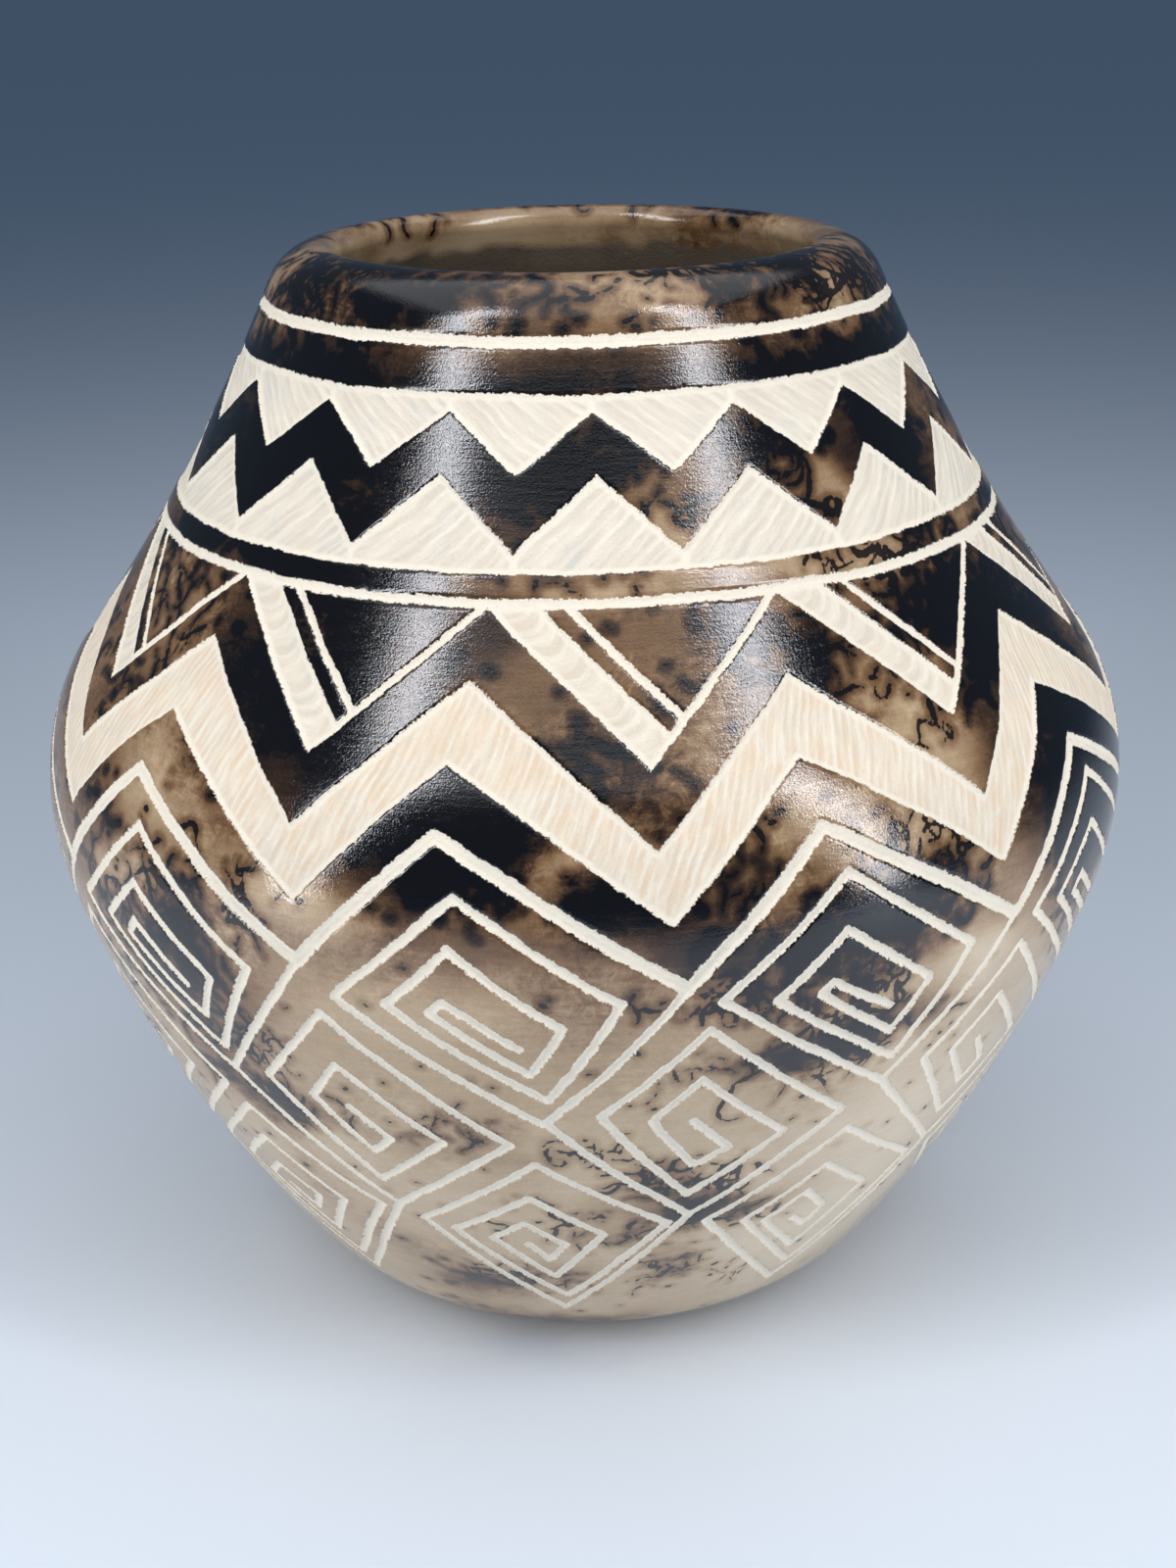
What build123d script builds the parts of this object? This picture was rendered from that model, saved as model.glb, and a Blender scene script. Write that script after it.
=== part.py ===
"""A coil-built pottery jar: a moulded base, a wall of clay coils and a thin polished slip,
which is scraped back to the clay to leave bands of sawteeth and zigzags."""
from build123d import *
import math
import os

# Outline of the polished outside, from the foot up. Lengths are in millimetres and angles in degrees.
# Each arc starts where the last one ended, at the same slope, and turns to its end angle,
# which is measured from level: 90 is upright and more than 90 leans inwards.
foot_radius = 36.2
foot_arc_radius = 30.3
foot_arc_end_angle = 53.7
lower_arc_radius = 257.5
lower_arc_end_angle = 71.3
belly_arc_radius = 55.4
shoulder_arc_radius = 43.6
shoulder_arc_end_angle = 126.8
neck_hollow_radius = 341.0
neck_end_angle = 114.5
lip_outer_radius = 10.4
lip_inner_radius = 3.0

# Walls, foot and slip
wall_thickness = 6.5
slip_thickness = 0.4
slip_inside_mouth = 8.0
slip_start_angle = 25.0
neck_thinning_share = 1 / 3
foot_ring_width = 5.0
foot_dent_depth = 2.0

# Heights of the beds between the coils and of the pattern, as shares of the height of the neck's top
coil_bed_shares = (0.137, 0.264, 0.391, 0.518, 0.655)
ring_line_1_share = 0.9836
ring_line_2_share = 0.7924
sawtooth_top_share = 0.9445
sawtooth_upper_peak_share = 0.9308
sawtooth_upper_tip_share = 0.8838
sawtooth_lower_peak_share = 0.8848
sawtooth_lower_tip_share = 0.8273
sawtooth_bottom_share = 0.8125
pendant_tip_share = 0.6751
pendant_inner_tip_share = 0.6973
pendant_line_end_share = 0.7158
wide_zigzag_upper_peak_share = 0.7338
wide_zigzag_upper_valley_share = 0.6186
wide_zigzag_lower_peak_share = 0.6751
wide_zigzag_lower_valley_share = 0.5584
line_zigzag_peak_share = 0.6302
line_zigzag_valley_share = 0.5151

# Widths of the scraped lines
ring_line_1_width = 2.0
ring_line_2_width = 1.5
line_zigzag_width = 2.2
pendant_line_width = 1.3
pendant_stripe_width = 8.6
pendant_strip_width = 2.4

# Repeats round the jar. The front view's repeats are drawn a little closer than those behind.
sawtooth_count = 16
zigzag_count = 10
first_sawtooth_azimuth = 13.5
first_zigzag_azimuth = 6.5
front_gather_angle = 2.2
front_gather_azimuth = 4.0

cut_overrun = 2.0


def wall_arcs():
    """(centre r, centre z, radius, start angle, end angle) of each arc, foot to lip, with the
    radius negative where the wall is hollow outside."""
    turns = (
        (foot_arc_radius, foot_arc_end_angle),
        (lower_arc_radius, lower_arc_end_angle),
        (belly_arc_radius, 90.0),
        (shoulder_arc_radius, shoulder_arc_end_angle),
        (-neck_hollow_radius, neck_end_angle),
        (lip_outer_radius, 180.0),
        (lip_inner_radius, 180.0 + neck_end_angle),
    )
    arcs = []
    r, z, angle = foot_radius, 0.0, 0.0
    for radius, end_angle in turns:
        turn = math.radians(angle)
        centre_r = r - radius * math.sin(turn)
        centre_z = z + radius * math.cos(turn)
        arcs.append((centre_r, centre_z, radius, angle, end_angle))
        turn = math.radians(end_angle)
        r = centre_r + radius * math.sin(turn)
        z = centre_z - radius * math.cos(turn)
        angle = end_angle
    return arcs


ARCS = wall_arcs()
FOOT, LOWER, BELLY, SHOULDER, NECK, LIP_OUTER, LIP_INNER = range(7)


def on_arc(index, angle, depth=0.0):
    """(r, z) on one arc at an angle, at a depth under the polished surface."""
    centre_r, centre_z, radius, _, _ = ARCS[index]
    turn = math.radians(angle)
    return (
        centre_r + (radius - depth) * math.sin(turn),
        centre_z - (radius - depth) * math.cos(turn),
    )


neck_top_height = on_arc(NECK, neck_end_angle)[1]


def place_at(height):
    """(arc index, angle) where the outside reaches a height."""
    for index in range(NECK + 1):
        centre_z, radius, end_angle = ARCS[index][1], ARCS[index][2], ARCS[index][4]
        if height <= on_arc(index, end_angle)[1] or index == NECK:
            turn = math.acos(max(-1.0, min(1.0, (centre_z - height) / radius)))
            return index, math.degrees(turn)


def radius_at(height):
    """Radius of the polished outside at a height."""
    return on_arc(*place_at(height))[0]


def arc_edges(start, end, depth):
    """Edges of the wall line from one (arc index, angle) to a later one, at a depth."""
    edges = []
    for index in range(start[0], end[0] + 1):
        low = start[1] if index == start[0] else ARCS[index][3]
        high = end[1] if index == end[0] else ARCS[index][4]
        if abs(high - low) > 1e-6:
            ends = [on_arc(index, angle, depth) for angle in (low, (low + high) / 2, high)]
            edges.append(ThreePointArc(*[(r, 0, z) for r, z in ends]))
    return edges


def line(start, end):
    """A straight edge between two (r, z) points."""
    return Line((start[0], 0, start[1]), (end[0], 0, end[1]))


def band_section(start, end, outer_depth, inner_depth):
    """The closed section between two depths, from one (arc index, angle) to another."""
    edges = arc_edges(start, end, outer_depth) + arc_edges(start, end, inner_depth)
    for place in (start, end):
        edges.append(line(on_arc(*place, outer_depth), on_arc(*place, inner_depth)))
    return Face(Wire(edges))


def turned(section):
    """A ring turned from a section about the jar's upright axis."""
    return revolve(section, Axis.Z, 360)


# Clay: the moulded base, the coils and the rim

def mouth_point(depth, inside):
    """(r, z) on the straight inside of the mouth, at a distance down from the lip's arc."""
    end_angle = ARCS[LIP_INNER][4]
    r, z = on_arc(LIP_INNER, end_angle, depth)
    turn = math.radians(end_angle)
    return r + inside * math.cos(turn), z + inside * math.sin(turn)


def base_dish():
    """The dished base with its flat resting ring, up to the first coil."""
    step = (FOOT, slip_start_angle)
    top = place_at(coil_bed_shares[0] * neck_top_height)
    foot_inner_radius = foot_radius - foot_ring_width
    dent_radius = (foot_inner_radius**2 + foot_dent_depth**2) / (2 * foot_dent_depth)
    half = foot_inner_radius / 2
    dent_middle = foot_dent_depth - dent_radius + math.sqrt(dent_radius**2 - half**2)
    floor_edge = on_arc(FOOT, 0, wall_thickness)
    edges = arc_edges((FOOT, 0), step, 0)
    edges.append(line(on_arc(*step), on_arc(*step, slip_thickness)))
    edges += arc_edges(step, top, slip_thickness)
    edges.append(line(on_arc(*top, slip_thickness), on_arc(*top, wall_thickness)))
    edges += arc_edges((FOOT, 0), top, wall_thickness)
    edges.append(line(floor_edge, (0, wall_thickness)))
    edges.append(line((0, wall_thickness), (0, foot_dent_depth)))
    edges.append(ThreePointArc((0, 0, foot_dent_depth), (half, 0, dent_middle), (foot_inner_radius, 0, 0)))
    edges.append(line((foot_inner_radius, 0), (foot_radius, 0)))
    return turned(Face(Wire(edges)))


def wall_coil(low_share, high_share):
    """One course of the wall, between two beds square to the wall."""
    low = place_at(low_share * neck_top_height)
    high = place_at(high_share * neck_top_height)
    return turned(band_section(low, high, slip_thickness, wall_thickness))


def neck_and_rim():
    """The neck's coil and the thicker rolled rim, which meet under the upper ring line."""
    low = place_at(ring_line_2_share * neck_top_height)
    bed = place_at(ring_line_1_share * neck_top_height)
    lip_end = (LIP_INNER, ARCS[LIP_INNER][4])
    thin_angle = neck_end_angle + neck_thinning_share * (shoulder_arc_end_angle - neck_end_angle)
    thin = (NECK, thin_angle)
    thin_r, thin_z = on_arc(*thin, wall_thickness)
    mouth_r, mouth_z = mouth_point(0, slip_inside_mouth)
    thin_turn = math.radians(thin_angle)
    mouth_turn = math.radians(ARCS[LIP_INNER][4] - 180)
    inside = Spline(
        (thin_r, 0, thin_z),
        (mouth_r, 0, mouth_z),
        tangents=(
            (math.cos(thin_turn), 0, math.sin(thin_turn)),
            (math.cos(mouth_turn), 0, math.sin(mouth_turn)),
        ),
    )
    edges = arc_edges(low, lip_end, slip_thickness)
    edges.append(line(on_arc(*lip_end, slip_thickness), mouth_point(slip_thickness, slip_inside_mouth)))
    edges.append(line(mouth_point(slip_thickness, slip_inside_mouth), (mouth_r, mouth_z)))
    edges.append(inside)
    edges += arc_edges(low, thin, wall_thickness)
    edges.append(line(on_arc(*low, slip_thickness), on_arc(*low, wall_thickness)))
    section = Face(Wire(edges))
    outer_end = on_arc(*bed, -cut_overrun)
    inner_end = on_arc(*bed, lip_outer_radius + lip_inner_radius + cut_overrun)
    top = neck_top_height + lip_outer_radius + cut_overrun
    above = Face(
        Wire(
            [
                line(inner_end, outer_end),
                line(outer_end, (outer_end[0], top)),
                line((outer_end[0], top), (inner_end[0], top)),
                line((inner_end[0], top), inner_end),
            ]
        )
    )
    return turned(section - above), turned(section & above)


# Slip: thin polished rings with the pattern cut out of them

def repeat_azimuth(first, count, number):
    """Azimuth of a repeat, or of a place between two, in degrees to the right of the front."""
    even = first + number * 360 / count
    return even - front_gather_angle * math.sin(math.radians(even - front_gather_azimuth))


def slip_ring(low_height, high_height):
    """A whole ring of slip between two heights."""
    return turned(band_section(place_at(low_height), place_at(high_height), 0, slip_thickness))


def prism(azimuth, corners):
    """A radial prism with (offset to the right, height) corners, seen from outside at an azimuth."""
    turn = math.radians(azimuth)
    outwards = (math.sin(turn), -math.cos(turn), 0)
    right = (math.cos(turn), math.sin(turn), 0)
    belly_radius = on_arc(BELLY, 90)[0]
    plane = Plane(origin=(0, 0, 0), x_dir=right, z_dir=outwards)
    face = plane * make_face(Polyline(*corners, close=True))
    start = lip_outer_radius
    return extrude(face.moved(Location(Vector(*outwards) * start)), belly_radius + cut_overrun - start, Vector(*outwards))


def side_offset(azimuth, other, height):
    """How far right of one azimuth another lies, square to the view, at a height."""
    return radius_at(height) * math.sin(math.radians(other - azimuth))


def notch(first, count, number, apex_height, side_height, end_height):
    """A triangle with its apex on a repeat, through the middles between the repeats at
    side_height, and run on to end_height."""
    azimuth = repeat_azimuth(first, count, number)
    reach = (end_height - apex_height) / (side_height - apex_height)
    corners = [(0, apex_height)]
    for step in (0.5, -0.5):
        other = repeat_azimuth(first, count, number + step)
        corners.append((reach * side_offset(azimuth, other, side_height), end_height))
    return prism(azimuth, corners)


def heights(*shares):
    """Heights from shares of the neck's height."""
    return [share * neck_top_height for share in shares]


def toothed_ring(first, count, upper, lower):
    """A zigzag ring of slip. upper and lower each hold the heights of that edge's peaks and valleys,
    with the valleys on the repeats and the peaks half way between."""
    high = upper[0]
    low = lower[1]
    ring = slip_ring(low, high)
    cuts = []
    for number in range(count):
        cuts.append(notch(first, count, number, upper[1], upper[0], high + cut_overrun))
        cuts.append(notch(first, count, number + 0.5, lower[0], lower[1], low - cut_overrun))
    return ring - cuts


def rim_slip():
    """The polished rim, from the upper ring line over the lip and into the mouth."""
    low = place_at(ring_line_1_share * neck_top_height + ring_line_1_width / 2)
    lip_end = (LIP_INNER, ARCS[LIP_INNER][4])
    edges = arc_edges(low, lip_end, 0) + arc_edges(low, lip_end, slip_thickness)
    for depth in (0, slip_thickness):
        edges.append(line(on_arc(*lip_end, depth), mouth_point(depth, slip_inside_mouth)))
    edges.append(line(mouth_point(0, slip_inside_mouth), mouth_point(slip_thickness, slip_inside_mouth)))
    edges.append(line(on_arc(*low, 0), on_arc(*low, slip_thickness)))
    return turned(Face(Wire(edges)))


def neck_slip():
    """The plain polished band between the upper ring line and the sawteeth."""
    line_height, band_height = heights(ring_line_1_share, sawtooth_top_share)
    return slip_ring(band_height, line_height - ring_line_1_width / 2)


def collar_slip():
    """The plain polished band between the sawteeth and the lower ring line."""
    line_height, band_height = heights(ring_line_2_share, sawtooth_bottom_share)
    return slip_ring(line_height + ring_line_2_width / 2, band_height)


def sawtooth_slip():
    """The zigzag that is left between the two rows of scraped triangles."""
    upper = heights(sawtooth_upper_peak_share, sawtooth_upper_tip_share)
    lower = heights(sawtooth_lower_peak_share, sawtooth_lower_tip_share)
    return toothed_ring(first_sawtooth_azimuth, sawtooth_count, upper, lower)


def pendant_top():
    """Height of the lower edge of the lower ring line."""
    return ring_line_2_share * neck_top_height - ring_line_2_width / 2


def upper_zigzag_slip():
    """The zigzag between the pendants and the wide scraped zigzag."""
    tip, peak, valley = heights(
        pendant_tip_share, wide_zigzag_upper_peak_share, wide_zigzag_upper_valley_share
    )
    return toothed_ring(first_zigzag_azimuth, zigzag_count, (pendant_top(), tip), (peak, valley))


def lower_zigzag_slip():
    """The zigzag between the wide scraped zigzag and the line that tops the lozenges."""
    upper = heights(wide_zigzag_lower_peak_share, wide_zigzag_lower_valley_share)
    lower = heights(line_zigzag_peak_share, line_zigzag_valley_share)
    return toothed_ring(first_zigzag_azimuth, zigzag_count, upper, lower)


def lozenge_slip():
    """The polished ground of the lozenges, from the line zigzag down to the foot."""
    peak, valley = heights(line_zigzag_peak_share, line_zigzag_valley_share)
    peak -= line_zigzag_width
    valley -= line_zigzag_width
    ring = turned(band_section((FOOT, slip_start_angle), place_at(peak), 0, slip_thickness))
    cuts = []
    for number in range(zigzag_count):
        cuts.append(notch(first_zigzag_azimuth, zigzag_count, number, valley, peak, peak + cut_overrun))
    return ring - cuts


def pendant_slip():
    """Inside each pendant, a slanted strip and a triangle, parted by a scraped line."""
    top = pendant_top()
    tip, line_end = heights(pendant_inner_tip_share, pendant_line_end_share)
    ring = slip_ring(tip, top)
    islands = []
    for number in range(zigzag_count):
        azimuth = repeat_azimuth(first_zigzag_azimuth, zigzag_count, number)
        left = repeat_azimuth(first_zigzag_azimuth, zigzag_count, number - 0.5)
        right = repeat_azimuth(first_zigzag_azimuth, zigzag_count, number + 0.5)
        stripe = side_offset(azimuth, left, top) + pendant_stripe_width
        strip = stripe + pendant_strip_width
        inner = strip + pendant_line_width
        arm_top = side_offset(azimuth, right, top) - pendant_line_width
        arm_tip = pendant_line_width
        rise_share = (line_end - tip) / (top - tip)
        arm_line = arm_tip + rise_share * (arm_top - arm_tip)
        strip_end = arm_line - pendant_line_width
        strip_corners = [(stripe, top), (arm_tip, tip), (strip_end, line_end), (strip, top)]
        islands.append(prism(azimuth, strip_corners))
        islands.append(prism(azimuth, [(inner, top), (arm_line, line_end), (arm_top, top)]))
    pieces = [solid for island in islands for solid in (ring & island).solids()]
    return Compound(pieces)


def make_parts():
    """Every sub-part by name, in place."""
    coil_names = ("lower_coil_1", "lower_coil_2", "belly_coil", "shoulder_coil_1", "shoulder_coil_2")
    beds = coil_bed_shares + (ring_line_2_share,)
    parts = {"base_dish": base_dish()}
    for name, low_share, high_share in zip(coil_names, beds, beds[1:]):
        parts[name] = wall_coil(low_share, high_share)
    parts["neck_coil"], parts["rim_coil"] = neck_and_rim()
    parts["rim_slip"] = rim_slip()
    parts["neck_slip"] = neck_slip()
    parts["sawtooth_slip"] = sawtooth_slip()
    parts["collar_slip"] = collar_slip()
    parts["pendant_slip"] = pendant_slip()
    parts["upper_zigzag_slip"] = upper_zigzag_slip()
    parts["lower_zigzag_slip"] = lower_zigzag_slip()
    parts["lozenge_slip"] = lozenge_slip()
    return parts


os.makedirs("parts", exist_ok=True)
for name, shape in make_parts().items():
    shape.label = name
    export_step(shape, f"parts/{name}.step")
    print(name, len(shape.solids()), "solids,", round(shape.volume, 1), "mm3")
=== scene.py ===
"""A coil-built pottery jar with a smoked, polished slip that is scraped back to the clay in bands of
sawteeth, pendants, zigzags and winding lozenges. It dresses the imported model. Lengths are in metres."""
import math

import bpy
import numpy as np
from mathutils import Matrix


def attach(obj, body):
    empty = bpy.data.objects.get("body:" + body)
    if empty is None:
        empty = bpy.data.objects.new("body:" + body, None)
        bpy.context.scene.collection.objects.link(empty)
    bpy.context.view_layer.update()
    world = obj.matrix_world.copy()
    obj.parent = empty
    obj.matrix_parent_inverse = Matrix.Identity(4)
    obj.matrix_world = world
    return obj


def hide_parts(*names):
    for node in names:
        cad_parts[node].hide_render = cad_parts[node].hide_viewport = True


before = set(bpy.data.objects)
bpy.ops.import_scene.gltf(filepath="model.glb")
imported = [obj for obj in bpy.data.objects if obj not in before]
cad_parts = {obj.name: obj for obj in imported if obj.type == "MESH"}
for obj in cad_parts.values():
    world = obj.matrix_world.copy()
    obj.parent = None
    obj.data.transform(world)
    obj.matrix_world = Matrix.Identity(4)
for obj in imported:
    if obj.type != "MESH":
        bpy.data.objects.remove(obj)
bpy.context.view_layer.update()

bl_info = {
    "name": "Smoked pottery jar",
    "version": (1, 0, 0),
    "blender": (4, 5, 0),
    "location": "View3D > Sidebar > Jar",
    "description": "Builds a coil-built, smoked and scraped pottery jar around its packed model",
    "category": "Add Mesh",
}

MM = 0.001
TURN = 2 * math.pi


def length(description, default):
    """A length that a user can change, given in millimetres."""
    return bpy.props.FloatProperty(description=description, default=default * MM, precision=5, unit="LENGTH")


def slope(description, default):
    """An angle that a user can change, given in degrees."""
    return bpy.props.FloatProperty(description=description, default=math.radians(default), subtype="ANGLE")


def share(description, default):
    """A share of the neck's height, or of a strength, that a user can change."""
    return bpy.props.FloatProperty(
        description=description, default=default, min=0.0, max=1.0, precision=4, subtype="FACTOR"
    )


def tally(description, default):
    """A whole number that a user can change."""
    return bpy.props.IntProperty(description=description, default=default)


def strength(description, default, unit="NONE"):
    """A power or a plain number that a user can change."""
    return bpy.props.FloatProperty(description=description, default=default, unit=unit)


def paint(description, *default):
    """A colour that a user can change, given as its red, green and blue from 0 to 255."""
    shares = [value / 255 for value in default]
    return bpy.props.FloatVectorProperty(
        description=description, default=shares, min=0.0, max=1.0, size=3, subtype="COLOR_GAMMA"
    )


class JarShape(bpy.types.PropertyGroup):
    """Sizes of the outline, which is a chain of arcs that each start at the last one's slope."""

    foot_radius: length("Outer radius of the flat resting ring", 36.2)
    foot_arc_radius: length("Radius of the arc above the foot", 30.3)
    foot_arc_end: slope("Slope where the foot's arc ends", 53.7)
    lower_arc_radius: length("Radius of the lower wall's arc", 257.5)
    lower_arc_end: slope("Slope where the lower wall ends", 71.3)
    belly_arc_radius: length("Radius of the arc under the widest place", 55.4)
    shoulder_arc_radius: length("Radius of the arc over the widest place", 43.6)
    shoulder_arc_end: slope("Slope where the shoulder ends", 126.8)
    neck_hollow_radius: length("Radius of the slightly hollow neck", 341.0)
    neck_end: slope("Slope where the neck meets the lip", 114.5)
    lip_outer_radius: length("Radius of the lip's outer arc", 10.4)
    lip_inner_radius: length("Radius of the lip's inner arc", 3.0)
    wall_thickness: length("Thickness of the clay wall with its slip", 6.5)
    slip_inside_mouth: length("How far the slip reaches down inside the mouth", 8.0)
    foot_ring_width: length("Width of the flat resting ring", 5.0)
    foot_dent_depth: length("Depth of the hollow under the foot", 2.0)
    neck_thinning: share("Where on the neck the inside starts to thin", 1 / 3)
    polish_loss: length("How far the rubbed surface lies under the modelled one", 0.22)
    hand_waver: length("Slow unevenness of the hand-built wall", 0.16)


class JarPattern(bpy.types.PropertyGroup):
    """Heights of the scraped pattern as shares of the neck's height, and widths of its lines."""

    ring_line_1: share("Height of the upper ring line", 0.9836)
    ring_line_2: share("Height of the lower ring line", 0.7924)
    sawtooth_top: share("Top of the band of sawteeth", 0.9445)
    sawtooth_upper_peak: share("Upper edge's peaks of the dark zigzag", 0.9308)
    sawtooth_upper_tip: share("Tips of the hanging sawteeth", 0.8838)
    sawtooth_lower_peak: share("Tips of the standing sawteeth", 0.8848)
    sawtooth_lower_tip: share("Lower edge's tips of the dark zigzag", 0.8273)
    sawtooth_bottom: share("Bottom of the band of sawteeth", 0.8125)
    pendant_tip: share("Lowest point of the pendants", 0.6772)
    wide_upper_peak: share("Upper edge's peaks of the wide zigzag", 0.7350)
    wide_upper_valley: share("Upper edge's valleys of the wide zigzag", 0.6196)
    wide_lower_peak: share("Lower edge's peaks of the wide zigzag", 0.6762)
    wide_lower_valley: share("Lower edge's valleys of the wide zigzag", 0.5592)
    line_peak: share("Peaks of the zigzag line over the lozenges", 0.6255)
    line_valley: share("Valleys of the zigzag line over the lozenges", 0.5060)
    ring_line_1_width: length("Width of the upper ring line", 2.0)
    ring_line_2_width: length("Width of the lower ring line", 1.5)
    line_width: length("Width of the zigzag line", 2.35)
    lozenge_line_width: length("Width of the lozenges' winding lines", 1.6)
    pendant_line_width: length("Width of the pendants' thin lines", 1.35)
    pendant_stripe_width: length("Width of the pendants' scalloped stripe", 6.3)
    pendant_strip_width: length("Width of the dark strip beside the stripe", 2.3)
    scrape_depth: length("How deep the slip and clay are scraped", 0.36)
    stroke_depth: length("Height of the marks that the scraper leaves", 0.05)
    sawtooth_count: tally("Sawteeth round the jar", 16)
    repeat_count: tally("Pendants round the jar", 10)
    stroke_count: tally("Strokes of the scraper round the jar in the wide zigzag", 384)
    first_sawtooth: slope("Azimuth of the first sawtooth, right of the front", 13.5)
    first_repeat: slope("Azimuth of the first pendant, right of the front", 6.5)
    wide_lower_lag: slope("How far right the wide zigzag's lower valleys lie", 1.2)
    wide_lean: slope("How far left of the middle the wide zigzag's peaks lie", 1.3)
    line_lag: slope("How far right of the pendants the zigzag line's valleys lie", 2.2)
    line_lean: slope("How far left of the middle the zigzag line's peaks lie", 4.5)
    lozenge_lag: slope("How far right of the pendants the lozenges are counted from", 1.0)
    sway: length("How far the zigzags rise and fall round the jar", 1.3)
    gather: slope("How far the repeats are drawn towards the front", 2.2)
    lower_gather: slope("The same for the zigzag line and the lozenges under it", 0.5)
    gather_azimuth: slope("Where the repeats are drawn to", 4.0)


class JarFinish(bpy.types.PropertyGroup):
    """Colours and gloss of the clay, the slip and the smoke."""

    cream: paint("Ridges and lines of the scraped clay", 246, 236, 218)
    cream_groove: paint("Grooves between the scraper's marks", 226, 214, 196)
    blush: paint("Warmer scraped clay of the wide zigzag", 234, 209, 180)
    cool_smudge: paint("Faint cool smudges on the sawteeth", 212, 209, 202)
    slip_pale: paint("Slip that took no smoke", 230, 211, 183)
    slip_tan: paint("Slip that took little smoke", 191, 164, 130)
    slip_brown: paint("Slip that took some smoke", 130, 99, 69)
    slip_umber: paint("Slip that took much smoke", 66, 46, 30)
    soot: paint("Slip that the smoke blackened", 13, 11, 12)
    hair: paint("Burnt hair marks", 14, 12, 14)
    inside: paint("Unpolished clay inside the jar", 106, 92, 75)
    inside_stain: paint("Smoke stains inside the jar", 62, 51, 41)
    polish: share("Roughness of the polished slip", 0.06)
    dryness: share("Roughness of the scraped clay", 0.92)


class JarStage(bpy.types.PropertyGroup):
    """Floor, room, lamps and camera."""

    floor_colour: paint("Colour of the plain floor", 234, 243, 255)
    floor_radius: length("Radius of the round floor", 14000)
    room_light: strength("Strength of the room's light", 0.128)
    tall_power: strength("Power of each tall lamp", 1.46, "POWER")
    tall_width: length("Width of a tall lamp", 50)
    tall_height: length("Height of a tall lamp", 620)
    tall_reach: length("From the jar to a tall lamp", 500)
    tall_lift: slope("How high over the floor the tall lamps hang", 24)
    top_power: strength("Power of the lamp above", 2.1, "POWER")
    top_width: length("Width of the square lamp above", 900)
    top_reach: length("From the jar to the lamp above", 550)
    top_lift: slope("How nearly overhead the lamp above hangs", 84)
    lamp_aim: length("Height of the point that the lamps face", 120)
    left_azimuth: slope("How far left of the front the left lamp stands", 48.0)
    right_azimuth: slope("How far right of the front the right lamp stands", 48.5)
    lamp_lean: slope("How far the tall lamps' lower ends lean outwards", 13.0)
    camera_pitch: slope("How far the camera looks down", 21.1992)
    camera_roll: slope("How far the camera is turned about its view", -1.1459)
    camera_distance: length("From the camera to the point it looks at", 429.48)
    camera_height: length("Height of the point the camera looks at", 91.22)
    camera_side: length("How far right of the middle the camera looks", 0.54)
    lens: strength("Focal length in millimetres for a 36 mm sensor", 51.2)


def soften(low, high, value):
    """Rises from 0 at low to 1 at high along 3t^2 - 2t^3."""
    t = np.clip((value - low) / (high - low), 0.0, 1.0)
    return t * t * (3.0 - 2.0 * t)


def lattice(ix, iy, iz, seed):
    """A repeatable random number from -1 to 1 for each whole-numbered place."""
    mixed = ix * 374761393 + iy * 668265263 + iz * 2147483647 + seed * 1274126177
    mixed = (mixed ^ (mixed >> 13)) * 1103515245
    mixed = mixed ^ (mixed >> 16)
    return (mixed & 0xFFFFFF) / 0x7FFFFF - 1.0


def clay_noise(place, size, seed):
    """Smooth random field from -1 to 1: lattice values blended by 6t^5 - 15t^4 + 10t^3 between them."""
    cells = []
    for value in place:
        whole = np.floor(value / size)
        part = value / size - whole
        cells.append((whole.astype(np.int64), part**3 * (part * (part * 6 - 15) + 10)))
    (ix, fx), (iy, fy), (iz, fz) = cells
    total = 0.0
    for corner in range(8):
        dx, dy, dz = corner & 1, corner >> 1 & 1, corner >> 2
        weight = abs(1 - dx - fx) * abs(1 - dy - fy) * abs(1 - dz - fz)
        total = total + weight * lattice(ix + dx, iy + dy, iz + dz, seed)
    return total


def layered_noise(place, size, seed, layers=3):
    """Several noises added, each half as large and half as strong as the one before."""
    total = 0.0
    for layer in range(layers):
        total = total + 0.5**layer * clay_noise(place, size * 0.5**layer, seed + layer)
    return total / (2 - 0.5 ** (layers - 1))


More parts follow.
